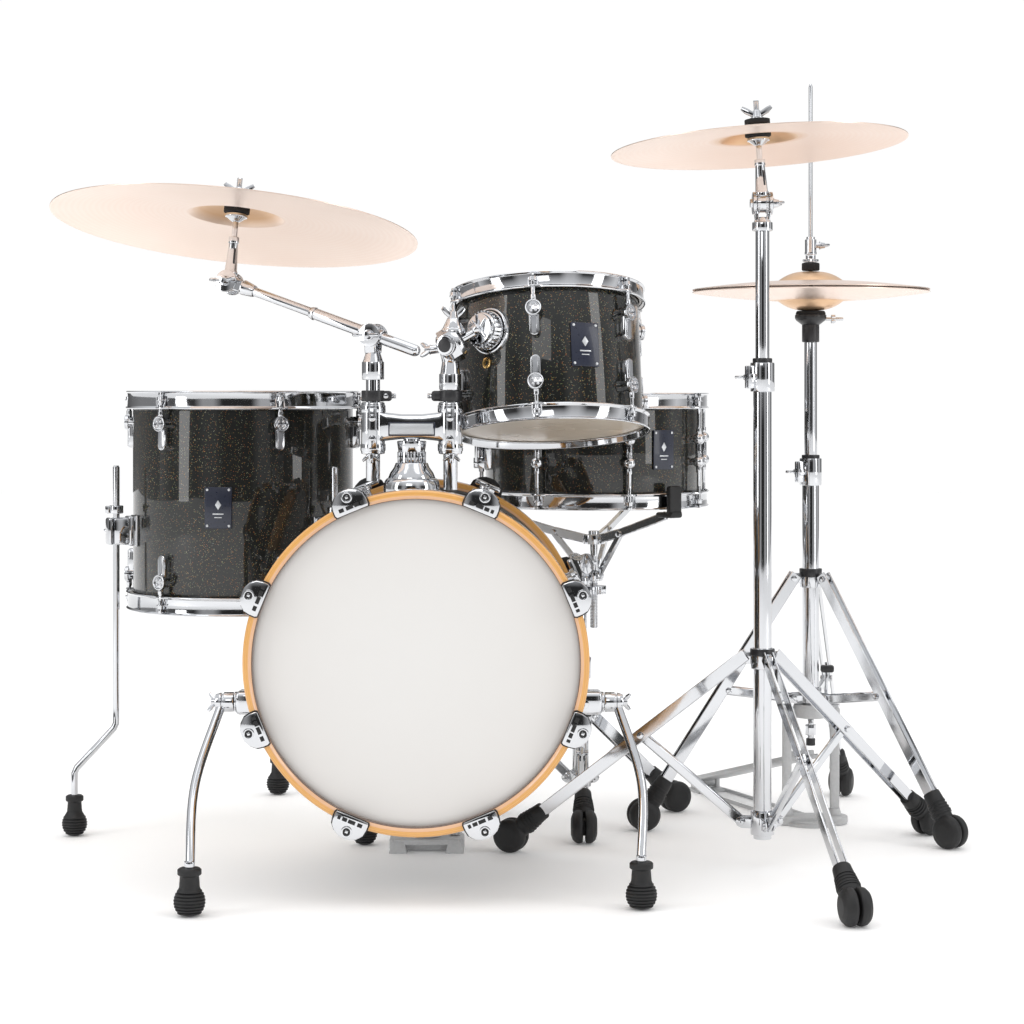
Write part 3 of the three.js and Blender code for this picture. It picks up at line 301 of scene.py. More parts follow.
# ---------- Shapes ----------
MM = 0.001
CREASE = 0.62  # radians between two faces, past which the edge between them stays crisp
FLIP = Matrix.Rotation(math.pi, 4, "X")
FRONT = Matrix.Rotation(math.pi / 2, 4, "X")  # local Z points to the front
RIGHT = Matrix.Rotation(math.pi / 2, 4, "Y")  # local Z points along X
LEFT = Matrix.Rotation(-math.pi / 2, 4, "Y")
QUARTER = Matrix.Rotation(math.pi / 2, 4, "Z")
OUTWARD = RIGHT @ QUARTER  # local Z points along X, with local Y up


def aim(at, direction, side=(1, 0, 0)):
    """A place whose local Z runs along a direction, with local X near a side."""
    z = Vector(direction).normalized()
    x = Vector(side) - z * z.dot(Vector(side))
    if x.length < 1e-3:
        x = Vector((0, 1, 0)) - z * z.y
    x.normalize()
    y = z.cross(x)
    turn = Matrix((x, y, z)).transposed().to_4x4()
    return Matrix.Translation(at) @ turn


def around(azimuth, radius=0.0, height=0.0):
    """A place turned about Z: local X points outwards at an azimuth in degrees."""
    turn = Matrix.Rotation(math.radians(azimuth), 4, "Z")
    return turn @ Matrix.Translation((radius, 0, height))


def at(x, y, z=0.0):
    return Matrix.Translation((x, y, z))


def eased(points, ease, loop=False):
    """A profile with its corners cut to a small round."""
    soft = []
    for i, point in enumerate(points):
        corner = Vector(point)
        if not loop and i in (0, len(points) - 1):
            soft.append(corner)
            continue
        before = Vector(points[i - 1]) - corner
        after = Vector(points[(i + 1) % len(points)]) - corner
        if before.length < 1e-6 or after.length < 1e-6 or before.angle(after) > 2.9:
            soft.append(corner)
            continue
        cut = min(ease, before.length * 0.45, after.length * 0.45)
        a, b = before.normalized() * cut, after.normalized() * cut
        soft += [corner + a, corner + (a + b) * 0.25, corner + b]
    return soft


def lathe(points, sides=40, ease=0.6, loop=False):
    """A profile of radius and height turned about Z. A loop profile makes a ring."""
    shape = bmesh.new()
    verts = [shape.verts.new((r, 0, z)) for r, z in eased(points, ease, loop)]
    pairs = list(zip(verts, verts[1:])) + ([(verts[-1], verts[0])] if loop else [])
    edges = [shape.edges.new(pair) for pair in pairs]
    bmesh.ops.spin(shape, geom=verts + edges, cent=(0, 0, 0), axis=(0, 0, 1), angle=TURN, steps=sides,
                   use_merge=True)
    bmesh.ops.remove_doubles(shape, verts=shape.verts, dist=1e-4)
    bmesh.ops.recalc_face_normals(shape, faces=shape.faces)
    return shape


def pipe(inner, outer, low, high, sides=40, ease=0.6):
    return lathe([(inner, low), (outer, low), (outer, high), (inner, high)], sides, ease, loop=True)


def stack(*steps, sides=32, ease=0.6):
    """Solid round steps, each a (radius, low, high) or (low radius, low, high, high radius)."""
    points = [(0, steps[0][1])]
    for step in steps:
        points += [(step[0], step[1]), (step[3] if len(step) > 3 else step[0], step[2])]
    return lathe(points + [(0, steps[-1][2])], sides, ease)


def slab(size, middle=(0, 0, 0), ease=1.0, segments=2):
    shape = bmesh.new()
    bmesh.ops.create_cube(shape, size=1)
    bmesh.ops.scale(shape, vec=size, verts=shape.verts)
    bmesh.ops.bevel(shape, geom=shape.edges[:], offset=min(ease, min(size) * 0.45), segments=segments,
                    profile=0.5, affect="EDGES", material=-1)
    bmesh.ops.translate(shape, vec=middle, verts=shape.verts)
    return shape


def plate(outline, low, high, ease=0.8):
    """A flat outline in XY, thickened between two heights, with eased rims."""
    shape = bmesh.new()
    face = shape.faces.new([shape.verts.new((x, y, low)) for x, y in outline])
    grown = bmesh.ops.extrude_face_region(shape, geom=[face])
    verts = [g for g in grown["geom"] if isinstance(g, bmesh.types.BMVert)]
    bmesh.ops.translate(shape, vec=(0, 0, high - low), verts=verts)
    rims = [e for e in shape.edges if abs(e.verts[0].co.z - e.verts[1].co.z) < 1e-6]
    bmesh.ops.bevel(shape, geom=rims, offset=ease, segments=2, profile=0.5, affect="EDGES", material=-1)
    bmesh.ops.recalc_face_normals(shape, faces=shape.faces)
    return shape


def stadium(wide, long, steps=8):
    """A pill outline along Y."""
    half = long / 2 - wide / 2
    points = []
    for end, start in ((half, 0.0), (-half, math.pi)):
        points += [(wide / 2 * math.cos(start + math.pi * i / steps),
                    end + wide / 2 * math.sin(start + math.pi * i / steps)) for i in range(steps + 1)]
    return points


def ball(radius, segments=24):
    shape = bmesh.new()
    bmesh.ops.create_uvsphere(shape, u_segments=segments, v_segments=segments // 2, radius=radius)
    return shape


def smooth_path(points, steps=6):
    """Points on a smooth curve through the given ones."""
    knots = [Vector(p) for p in points]
    knots = [knots[0] * 2 - knots[1]] + knots + [knots[-1] * 2 - knots[-2]]
    path = []
    for a, b, c, d in zip(knots, knots[1:], knots[2:], knots[3:]):
        for i in range(steps):
            t = i / steps
            path.append(0.5 * ((2 * b) + (c - a) * t + (2 * a - 5 * b + 4 * c - d) * t ** 2
                               + (3 * b - a - 3 * c + d) * t ** 3))
    return path + [knots[-2]]


def bent(points, radius, sides=16):
    """A round bar along a path. radius is a number or one number for each point."""
    shape = bmesh.new()
    path = [Vector(p) for p in points]
    radii = radius if isinstance(radius, list) else [radius] * len(path)
    side = Vector((0.13, 0.97, 0.2))
    loops = []
    for i, point in enumerate(path):
        tangent = path[min(i + 1, len(path) - 1)] - path[max(i - 1, 0)]
        place = aim(point, tangent, side)
        side = place.to_3x3() @ Vector((1, 0, 0))
        made = bmesh.ops.create_circle(shape, segments=sides, radius=radii[i], matrix=place)["verts"]
        loops.append(list({e for v in made for e in v.link_edges}))
    for near, far in zip(loops, loops[1:]):
        bmesh.ops.bridge_loops(shape, edges=near + far)
    bmesh.ops.holes_fill(shape, edges=loops[0] + loops[-1], sides=0)
    bmesh.ops.recalc_face_normals(shape, faces=shape.faces)
    return shape


def wing_nut(hub=6.0, tall=12.0, span=17.0):
    """A wing nut on Z, its foot at zero."""
    outline = [(0, 1), (hub * 0.9, 1), (span * 0.75, tall * 0.55), (span, tall * 1.05),
               (span * 0.86, tall * 1.4), (span * 0.55, tall * 1.15), (hub * 0.7, tall * 0.75),
               (0, tall * 0.7)]
    wings = plate(outline, -2.1, 2.1, 1.2)
    bmesh.ops.rotate(wings, cent=(0, 0, 0), matrix=Matrix.Rotation(math.pi / 2, 3, "X"), verts=wings.verts)
    other = wings.copy()
    bmesh.ops.rotate(other, cent=(0, 0, 0), matrix=Matrix.Rotation(math.pi, 3, "Z"), verts=other.verts)
    return [stack((hub * 1.25, 0, 1.5), (hub, 1.5, tall * 0.85, hub * 0.8), sides=20), wings, other]


def ribbed_foot(radius, collar):
    """A rubber foot: a ribbed ball, a neck and a flanged collar."""
    points = [(0, 0.6), (6, 0.6)]
    for i in range(int(radius * 0.4)):
        low = 3 + 3.8 * i
        reach = math.sqrt(radius ** 2 - (low + 1.4 - 18) ** 2 * 0.9)
        points += [(reach - 1.4, low), (reach, low + 0.9), (reach, low + 2.3), (reach - 1.4, low + 3.2)]
    points += [(collar - 2, 36), (collar - 3, 50), (collar, 52), (collar, 58), (collar - 2.4, 60), (0, 60)]
    return lathe(points, 40, 0.5)


class Piece:
    """One named piece: shapes in millimetres, merged into a mesh in metres that rides on a body."""

    def __init__(self, name, body, slot, finish, stands_for=()):
        self.name, self.body, self.slot, self.finish, self.stands_for = name, body, slot, finish, stands_for
        self.shape = bmesh.new()

    def add(self, shapes, place=Matrix()):
        for shape in shapes if isinstance(shapes, list) else [shapes]:
            rough = bpy.data.meshes.new("rough")
            shape.to_mesh(rough)
            rough.transform(place)
            if place.determinant() < 0:
                rough.flip_normals()
            self.shape.from_mesh(rough)
            bpy.data.meshes.remove(rough)
        return self

    def rod(self, start, end, radius, far=None, sides=20, ease=0.6):
        start, end = Vector(start), Vector(end)
        length = (end - start).length
        far = radius if far is None else far
        return self.add(lathe([(0, 0), (radius, 0), (far, length), (0, length)], sides, ease),
                        aim(start, end - start))

    def bar(self, start, end, wide, thick, side=(0, 1, 0), ease=0.8):
        """A flat bar: thick along side, wide across it."""
        start, end, across = Vector(start), Vector(end), Vector(side).normalized()
        along = (end - start).normalized()
        turn = Matrix((along, across, along.cross(across))).transposed().to_4x4()
        return self.add(slab(((end - start).length, thick, wide), ease=ease, segments=1),
                        Matrix.Translation((start + end) / 2) @ turn)

    def done(self):
        bmesh.ops.scale(self.shape, vec=(MM,) * 3, verts=self.shape.verts)
        for face in self.shape.faces:
            face.smooth = True
        for edge in self.shape.edges:
            edge.smooth = len(edge.link_faces) != 2 or edge.calc_face_angle(0) < CREASE
        mesh = bpy.data.meshes.new(self.name)
        self.shape.to_mesh(mesh)
        self.shape.free()
        mesh.materials.append(self.finish.material)
        made = bpy.data.objects.new(self.name, mesh)
        scene.collection.objects.link(made)
        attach(made, self.body)
        if self.stands_for:
            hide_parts(*self.stands_for)
        return made


def chrome(name, body, *nodes):
    return Piece(name, body, "chrome", CHROME, nodes)


# ---------- Drums ----------
HEAD_LIFT = 1.3  # the film of a head above the end of its shell
HOLDER_Y = -204.5  # the holder stands over the middle of the bass drum
# A hoop stands out past its head by its rise and reaches back over the shell by its skirt.
BASS = {"radius": 203, "depth": 378.4, "wall": 7, "rise": 14, "skirt": 24}
TOM = {"radius": 127, "depth": 178, "wall": 6, "rise": 11, "skirt": 12}
FLOOR_TOM = {"radius": 165, "depth": 297, "wall": 6.5, "rise": 13, "skirt": 14}
SNARE = {"radius": 165, "depth": 147, "wall": 6.5, "rise": 11, "skirt": 13}
BASS_PLACE = at(0, HOLDER_Y, 309) @ Matrix.Rotation(-math.pi / 2, 4, "X")
TOM_LEAN = Matrix.Rotation(math.radians(-10), 4, "X") @ Matrix.Rotation(math.radians(-1.7), 4, "Y")
TOM_PLACE = at(173, -96, 692) @ TOM_LEAN
FLOOR_PLACE = at(-285, 185, 490.8)
SNARE_CENTRE = at(246, 223)
SNARE_PLACE = SNARE_CENTRE @ at(0, 0, 564.8)


def shell(name, body, size, place, node):
    half, outer, inner = size["depth"] / 2, size["radius"], size["radius"] - size["wall"]
    edge = [(inner, -half + 3), (outer - 3, -half), (outer, -half + 1.2), (outer, half - 1.2),
            (outer - 3, half), (inner, half - 3)]
    Piece(name, body, "lacquered_shell", LACQUER, [node]).add(lathe(edge, 128, 0.5, loop=True), place).done()


def drum_head(name, body, size, place, node, clear, centre_axis):
    outer, half = size["radius"], size["depth"] / 2
    film = [(0, half + 1.2), (outer - 6, half + 1.2), (outer - 1, half + 0.9), (outer + 1.2, half - 1),
            (outer + 1.4, half - 6.5), (outer + 4.6, half - 6.5), (outer + 4.6, half + 0.4),
            (outer + 2, half + 1.2), (outer - 5, half + 1.6), (0, half + 1.6)]
    centre = tuple(v / 1000 for v in place.translation)
    colors = ((0.70, 0.60, 0.48), (0.78, 0.69, 0.57)) if clear else ((0.66, 0.65, 0.635), (0.62, 0.60, 0.58))
    finish = drumhead(name + "_film", *colors, centre, centre_axis, outer / 1000, 0.28 if clear else 0.5)
    slot = "clear_head" if clear else "coated_head"
    Piece(name, body, slot, finish, [node]).add(lathe(film, 96, 0.3), place).done()


def steel_hoop(piece, size, place, azimuths, ear_out):
    """A flanged hoop: a rolled top rim, a band, and ears on its lower flange for the rods."""
    outer, face = size["radius"], size["depth"] / 2 + HEAD_LIFT
    low, high = face - size["skirt"], face + size["rise"]
    profile = [(outer + 1.8, face + 0.4), (outer + 5.6, face + 0.4), (outer + 5.4, low + 3),
               (outer + 9.4, low), (outer + 10.6, low + 1.6), (outer + 7.6, low + 4.4),
               (outer + 7.6, high - 3.4), (outer + 10.2, high - 1.4), (outer + 9.2, high),
               (outer + 6.2, high - 1), (outer + 5.4, face + 2.4), (outer + 1.8, face + 2.2)]
    piece.add(lathe(profile, 128, 0.5, loop=True), place)
    for azimuth in azimuths:
        ear = [(outer + 5.5, -17), (outer + 9, -13), (outer + ear_out, -6.5), (outer + ear_out + 2, 0),
               (outer + ear_out, 6.5), (outer + 9, 13), (outer + 5.5, 17)]
        piece.add(plate(ear, low + 0.4, low + 3.2, 0.7), place @ around(azimuth))
        web = [(0, low + 2), (6.4, low + 2), (1.4, low + 15), (0, low + 15)]
        for side in (-1, 1):
            piece.add(plate(web, side * 6 - 1, side * 6 + 1, 0.4), place @ around(azimuth, outer + 6.8)
                      @ FRONT)


def lug(piece, inset, radius, place, reach=42, disc=11.4, out=15):
    """A lug on +X of its place: a round end for the rod and a pill-shaped body that runs towards -Z."""
    face = place @ at(radius, 0) @ OUTWARD
    piece.add(stack((disc * 0.8, -1, out - 4), (disc, out - 4, out), (disc - 2.2, out, out + 0.1),
                    sides=32), face)
    piece.add(lathe([(disc - 2.6, out - 0.5), (disc, out - 1.2), (disc, out + 2), (disc - 2.6, out + 2)],
                    32, 0.7, loop=True), face)
    for i in range(4):
        piece.add(ball(2.5, 12), face @ around(45 + 90 * i, disc * 0.42, out))
    pill = plate([(x, y - reach / 2 + 3) for x, y in stadium(14, reach - 4)], -1, out - 4, 1.6)
    piece.add(pill, face)
    piece.add(plate([(x, y - reach / 2 - 1) for x, y in stadium(9.6, reach - 14)], out - 4.6, out - 2.6,
                    0.5), face)
    inset.add(slab((6.2, reach - 20, 1.4), (0, -reach / 2 - 2, out - 2.4), 0.3), face)


def tension_rod(piece, place, radius, low, high):
    """A rod with a collar below and a square key head above."""
    piece.add(stack((4.2, low, low + 9), (3, low + 9, high - 9), (6.2, high - 9, high - 7.2),
                    (5, high - 7.2, high - 3), sides=20, ease=0.4), place @ at(radius, 0))
    piece.add(slab((5.4, 5.4, 7), (radius, 0, high), 0.6), place)


def badge(name, body, place, tall, wide):
    """A plain enamelled plate with a lozenge mark and four screws, facing local X."""
    face = place @ OUTWARD
    Piece(name, body, "badge_plate", ENAMEL).add(slab((wide, tall, 2.6), (0, 0, 0.6), 1.0), face).done()
    mark = Piece(name + "_mark", body, "chrome", MARK)
    for side in (-1, 1):
        for end in (-1, 1):
            mark.add(stack((1.9, 1.6, 2.8), sides=12), face @ at(side * (wide / 2 - 4), end * (tall / 2 - 4)))
    mark.add(plate([(0, 11), (4.6, 4), (0, -3), (-4.6, 4)], 1.6, 2.5, 0.3), face)
    mark.add(slab((16, 1.8, 0.8), (0, -9, 2.1), 0.2), face)
    mark.add(slab((11, 1.3, 0.8), (0, -14, 2.1), 0.2), face)
    mark.done()


def metal_drum(prefix, body, size, place, azimuths, reach, rod_high, spread):
    """Shell, heads, steel hoops, lugs and rods of one drum with metal hoops."""
    axis = tuple(place.to_3x3() @ Vector((0, 0, 1)))
    shell(prefix + "_shell_lacquer", body, size, place, prefix + "_shell")
    hardware = chrome(prefix + "_lugs_and_rods", body)
    inset = Piece(prefix + "_lug_insets", body, "cast_grey", INSET)
    for side, name, head_name, clear in ((1, "top", "batter", False), (-1, "bottom", "bottom", True)):
        end = place if side > 0 else place @ FLIP
        turned = [a * side for a in azimuths]
        hoop = chrome(f"{prefix}_{name}_rim", body, f"{prefix}_{name}_hoop")
        steel_hoop(hoop, size, end, turned, 15)
        hoop.done()
        drum_head(f"{prefix}_{name}_skin", body, size, end, f"{prefix}_{head_name}_head", clear, axis)
        for azimuth in turned:
            local = end @ around(azimuth)
            lug(hardware, inset, size["radius"], local @ at(0, 0, spread), reach)
            tension_rod(hardware, local, size["radius"] + 11.5, spread + 9, rod_high)
    hardware.done()
    inset.done()


tom_azimuths = [-99 + 60 * k for k in range(6)]
metal_drum("tom", "tom", TOM, TOM_PLACE, tom_azimuths, 42, 96, 50)
floor_azimuths = [-126 + 60 * k for k in range(6)]
metal_drum("floor", "base", FLOOR_TOM, FLOOR_PLACE, floor_azimuths, 44, 157, 115)
badge("tom_badge", "tom", TOM_PLACE @ around(-69, 127.4, 1.5), 60, 40)
badge("floor_badge", "base", FLOOR_PLACE @ around(-96, 165.4, -6), 60, 40)
badge("snare_badge", "snare", SNARE_PLACE @ around(-54, 165.4, 2), 58, 38)

# Snare drum: small double-ended lugs on a post, shallow shell.
shell("snare_shell_lacquer", "snare", SNARE, SNARE_PLACE, "snare_shell")
snare_hardware = chrome("snare_lugs_and_rods", "snare")
snare_azimuths = [-75 + 45 * k for k in range(8)]
for side in (1, -1):
    end = SNARE_PLACE if side > 0 else SNARE_PLACE @ FLIP
    turned = [a * side for a in snare_azimuths]
    name = "top" if side > 0 else "bottom"
    rim = chrome(f"snare_{name}_rim", "snare", f"snare_{name}_hoop")
    steel_hoop(rim, SNARE, end, turned, 15)
    rim.done()
    drum_head(f"snare_{name}_skin", "snare", SNARE, end, f"snare_{'batter' if side > 0 else 'bottom'}_head",
              side < 0, (0, 0, 1))
    for azimuth in turned:
        local = end @ around(azimuth)
        snare_hardware.rod(local @ Vector((164, 0, 17)), local @ Vector((176, 0, 17)), 5, 6)
        snare_hardware.add(ball(9, 24), local @ at(177, 0, 17))
        snare_hardware.add(stack((5, -18, 18), sides=20), local @ at(177, 0))
        tension_rod(snare_hardware, local, 177, 24, 82)
snare_hardware.done()
wires = Piece("snare_wires", "snare", "snare_wire", STEEL)
for i in range(12):
    y = -22 + i * 4
    wires.rod(SNARE_CENTRE @ Vector((-132, y, 488.5)), SNARE_CENTRE @ Vector((132, y, 488.5)), 0.9, sides=8)
for x in (-138, 138):
    wires.add(slab((14, 56, 1.6), (x, 0, 488.4), 0.4), SNARE_CENTRE)
wires.done()

# Strainer: a body on the shell with rounded edges, and the throw-off lever on its pin.
STRAINER = SNARE_PLACE @ around(196)
strainer = chrome("snare_strainer", "snare")
strainer.add(slab((16, 34, 64), (169, 0, 2), 3), STRAINER)
strainer.add(slab((22, 3, 16), (176, -11.8, -20), 1), STRAINER)
strainer.add(slab((22, 3, 16), (176, 11.8, -20), 1), STRAINER)
strainer.rod(STRAINER @ Vector((171, 0, 30)), STRAINER @ Vector((171, 0, 46)), 6, 7)
strainer.done()
lever = chrome("strainer_throw_lever", "strainer", "snare_strainer_lever")
lever.add(plate([(-6, -4), (6, -4), (8, 20), (6.5, 50), (3, 57), (-3, 57), (-6.5, 50), (-8, 20)], 0, 4.6,
                1.2), STRAINER @ at(182.2, 0, -22) @ OUTWARD)
lever.rod(STRAINER @ Vector((184, -9.8, -20)), STRAINER @ Vector((184, 9.8, -20)), 3.4)
lever.done()

# Bass drum.
shell("bass_shell_lacquer", "base", BASS, BASS_PLACE, "bass_shell")
claw_azimuths = [22.5 + 45 * k for k in range(8)]
claws = chrome("bass_claws", "base")
gaskets = Piece("bass_claw_gaskets", "base", "black_rubber", RUBBER)
bass_lugs = chrome("bass_lugs_and_rods", "base")
bass_insets = Piece("bass_lug_insets", "base", "cast_grey", INSET)
for side, name in ((1, "batter"), (-1, "front")):
    end = BASS_PLACE if side > 0 else BASS_PLACE @ FLIP
    face = BASS["depth"] / 2 + HEAD_LIFT
    low, high = face - BASS["skirt"], face + BASS["rise"]
    ring = [(207, face + 0.4), (208.3, face + 0.4), (208.3, low), (219, low), (219, high - 2.6),
            (216.6, high), (211.5, high), (207, high - 4.2)]
    Piece(f"bass_{name}_wood_hoop", "base", "maple_hoop", MAPLE,
          [f"bass_{name}_hoop"]).add(lathe(ring, 144, 0.8, loop=True), end).done()
    drum_head(f"bass_{name}_skin", "base", BASS, end, f"bass_{name}_head", False, (0, 1, 0))
    for azimuth in claw_azimuths:
        local = end @ around(azimuth)
        outline = [(-1, -21), (2, -22.5), (9, -22.5), (17, -21), (24, -15), (28, -7), (28.6, 0), (28, 7),
                   (24, 15), (17, 21), (9, 22.5), (2, 22.5), (-1, 21)]
        claws.add(plate([(208.5 + x, y) for x, y in outline], high + 0.8, high + 5, 1.5), local)
        gaskets.add(plate([(207.6 + x * 1.03, y * 1.07) for x, y in outline], high + 0.1, high + 1.6, 0.4),
                    local)
        claws.add(slab((9, 38, 34), (226.6, 0, high - 13), 3), local)
        claws.add(lathe([(4.6, high + 4), (7.2, high + 4), (7.2, high + 6.4), (4.6, high + 6.4)], 24, 0.8,
                        loop=True), local @ at(227.5, 0))
        gaskets.add(stack((4.8, high + 4.2, high + 5.4), sides=20, ease=0.2), local @ at(227.5, 0))
        claws.add(slab((4, 4, 4), (227.5, 0, high + 4.6), 0.5), local)
        for y, wide in ((-15.5, 4), (-8, 6.5), (1.5, 9.5), (12.5, 6.5)):
            gaskets.add(slab((5, wide, 1), (214.2, y, high + 4.8), 0.3), local)
        bass_lugs.rod(local @ Vector((227, 0, 118)), local @ Vector((227, 0, high)), 3)
        lug(bass_lugs, bass_insets, 203, local @ at(0, 0, 108), 44, out=22)
claws.done()
gaskets.done()
bass_lugs.done()
bass_insets.done()

# The tom's vent grommet.
vents = Piece("tom_vent", "tom", "brass_grommet", BRASS)
vents.add(lathe([(3.4, -1), (7.5, -1), (7.5, 1.5), (3.4, 2)], 28, 0.6, loop=True), TOM_PLACE
          @ around(-133, 126.6, -15) @ RIGHT)
vents.done()


# ---------- Shapes for the hardware ----------

def toothed(radius, depth, teeth, low, high):
    """A disc with a serrated rim."""
    outline = []
    for i in range(teeth * 2):
        reach = radius if i % 2 else radius - depth
        outline.append((reach * math.cos(math.pi * i / teeth), reach * math.sin(math.pi * i / teeth)))
    return plate(outline, low, high, 0.3)


def thread(radius, low, high, pitch=1.5, sides=16):
    """A threaded rod as fine rings."""
    count = int((high - low) / pitch)
    points = [(0, low)]
    for i in range(count):
        points += [(radius - 0.5, low + i * pitch), (radius, low + (i + 0.5) * pitch)]
    return lathe(points + [(radius - 0.5, high), (0, high)], sides, 0)


def split_clamp(piece, place, inner, outer, low, high, azimuth, reach=9):
    """A sleeve split at one azimuth, its two ears drawn together by a bolt."""
    tall = high - low
    piece.add(pipe(inner, outer, low, high, 40, 1.6), place)
    ears = place @ around(azimuth, 0, (low + high) / 2)
    for side in (-1, 1):
        piece.add(slab((reach + 4, 4, tall * 0.78), (outer + reach / 2 - 2, side * 3.2, 0), 1.6), ears)
    bolt = ears @ at(outer + reach * 0.4, 0)
    piece.add(stack((3, -9, 9), sides=16), bolt @ FRONT)
    piece.add(stack((5.4, -9.5, -5.2), sides=6), bolt @ FRONT)
    piece.add(wing_nut(5, 9, 15), bolt @ FRONT @ at(0, 0, 5.2))


def memory_lock(piece, steel, place, height, inner, azimuth):
    """A dark ring with a rounded key block, a key screw and a spring end."""
    piece.add(pipe(inner, inner + 6, height, height + 15, 32, 1.8), place)
    block = place @ around(azimuth, inner + 8, height + 7.5)
    piece.add(slab((15, 17, 14), (0, 0, 0), 4, 3), block)
    steel.add(stack((3.4, 5, 9.5), (2.4, 9.5, 12), sides=16), block @ FRONT)
    steel.add(thread(3.6, 6, 13, 1.8), block @ RIGHT)


def knuckle(piece, pivot, axis, bore=4.7):
    """A disc on a pivot with a serrated rim at each face."""
    place = aim(pivot, axis)
    piece.add(pipe(bore, 12.8, -7.8, 7.8, 36, 0.8), place)
    for i in range(20):
        for face in (-5.8, 5.8):
            piece.add(slab((2.4, 2, 3.4), (12.6, 0, face), 0.4, 1), place @ around(18 * i))


def fork(piece, pivot, axis, foot):
    """Two round cheeks on forged necks, and a pin with a wing nut at one end."""
    pivot, axis, foot = Vector(pivot), Vector(axis).normalized(), Vector(foot)
    place = aim(pivot, axis)
    for side in (1, -1):
        face = place if side > 0 else place @ FLIP
        piece.add(stack((14.2, 8.5, 10), (15.6, 9.8, 13.6), sides=44, ease=0.9), face)
        for i in range(20):
            piece.add(slab((1.8, 2, 1.6), (14.2, 0, 9.2), 0.3, 1), face @ around(18 * i + 9))
        piece.bar(pivot + axis * side * 10.8, foot + axis * side * 7.4, 17, 4.6, axis, 1.6)
    end = place @ FLIP
    piece.add(stack((4, -16.5, 14.5), (6.2, 13, 15.5), sides=20), end)
    piece.add(stack((6.6, -17, -13.2), sides=6), end)
    piece.add(wing_nut(6, 10, 19), end @ at(0, 0, 14.4))


CYMBAL_THICK = 1.35


def cymbal(name, body, node, hole, up, radius, bell, high, bow):
    """A cymbal turned in one profile: a long bow, a bell with a crisp edge, and a centre hole."""
    under = []
    for i in range(31):
        r = radius + (bell - radius) * i / 30
        under.append((r, -bow * max(0.0, (r - bell) / (radius - bell)) ** 1.5))
    for i in range(1, 15):
        r = bell + (6.5 - bell) * i / 14
        under.append((r, high * (1 - ((r - 6.5) / (bell - 6.5)) ** 2.4)))
    over = [(r, z + CYMBAL_THICK) for r, z in reversed(under)]
    profile = [(r, z - high) for r, z in under + over]
    place = aim(hole, up)
    finish = turned_bronze(name + "_bronze", tuple(v / 1000 for v in hole), tuple(Vector(up).normalized()))
    Piece(name + "_plate", body, "cymbal_bronze", finish, [node]).add(lathe(profile, 144, 0.25, loop=True),
                                                                      place).done()


def felts(name, body, place, above):
    """The felt below a cymbal and the one above it."""
    felt = Piece(name, body, "black_felt", FELT)
    lower = [(4.4, above - 12), (18, above - 12), (18, above - 3.1), (6.5, above - 1.3), (4.4, above - 1.3)]
    upper = [(4.4, above + 2.7), (6.5, above + 2.7), (17.5, above + 4.6), (17.5, above + 12),
             (4.4, above + 12)]
    felt.add(lathe(lower, 36, 1.2, loop=True), place)
    felt.add(lathe(upper, 36, 1.2, loop=True), place)
    felt.done()


def tilter(name, body, node, pivot, axis, up, above):
    """A knuckle with a tapered sleeve, the cup under the felt, and a threaded rod with a wing nut."""
    piece = chrome(name, body, node)
    knuckle(piece, pivot, axis)
    place = aim(pivot, up)
    piece.add(stack((9.5, 9, 16), (8.6, 16, above * 0.5, 6.4), (7.4, above * 0.5, above * 0.58), sides=32),
              place)
    piece.add(stack((4, 12, above + 4), sides=20), place)
    piece.add(thread(4, above + 4, above + 38), place)
    piece.add(stack((6, above - 24, above - 18, 14), (15.5, above - 18, above - 14),
                    (14, above - 14, above - 12), sides=36), place)
    piece.add(stack((10, above + 12, above + 14), sides=28), place)
    piece.add(wing_nut(6.5, 12, 22), place @ at(0, 0, above + 14))
    piece.done()
    slot = Piece(name + "_slot", body, "black_plastic", MOULDED)
    slot.add(slab((3, 1.6, above * 0.2), (0, -7.6, above * 0.33), 0.6), place @ Matrix.Rotation(0.5, 4, "Z"))
    slot.done()
    felts(name + "_felts", body, place, above)


def leg_strips(leg, rubber, place, pivot, collar, reach, rivets):
    """Two flat strips with rivets, and a foot: a tapered sleeve and a split rubber wheel."""
    top, end = Vector((pivot, 0, collar)), Vector((reach, 0, 24))
    along = (end - top).normalized()
    turn = place.to_3x3()
    across = turn @ Vector((0, 1, 0))
    for side in (-5.75, 5.75):
        shift = Vector((0, side, 0))
        leg.bar(place @ (top + shift - along * 8), place @ (end + shift - along * 48), 17, 2.5, across, 0.9)
    for r, z in rivets:
        spot = place @ at(r, 0, z) @ FRONT
        leg.add(stack((4.6, -9.4, -7), (3, -7, 7), (4.6, 7, 9.4), sides=20), spot)
    sleeve = aim(place @ end, turn @ -along, across)
    rubber.add(stack((14, 16, 26), (15.5, 26, 46, 12.5), (13.4, 46, 62, 12), sides=32, ease=1.6), sleeve)
    for i in range(4):
        rubber.add(lathe([(12, 29 + 5 * i), (15.9 - i * 0.6, 29 + 5 * i), (15.8 - i * 0.6, 31 + 5 * i),
                          (12, 31 + 5 * i)], 32, 0.5, loop=True), sleeve)
    wheel = place @ at(reach, 0, 24) @ FRONT
    for face in (wheel, wheel @ FLIP):
        rubber.add(lathe([(0, 1.6), (20, 1.6), (23.2, 3), (24, 7), (23, 12), (19, 16.5), (12, 19), (0, 19)],
                         40, 0.8), face)
    rubber.add(stack((13, -2, 2), sides=28), wheel)


def brace_bar(piece, place, start, end):
    """A flat brace that runs a little past both of its pins."""
    a, b = place @ Vector((start[0], 0, start[1])), place @ Vector((end[0], 0, end[1]))
    across = place.to_3x3() @ Vector((0, 1, 0))
    grow = (b - a).normalized() * 6
    piece.bar(a - grow, b + grow, 14.5, 7.6, across, 2.4)


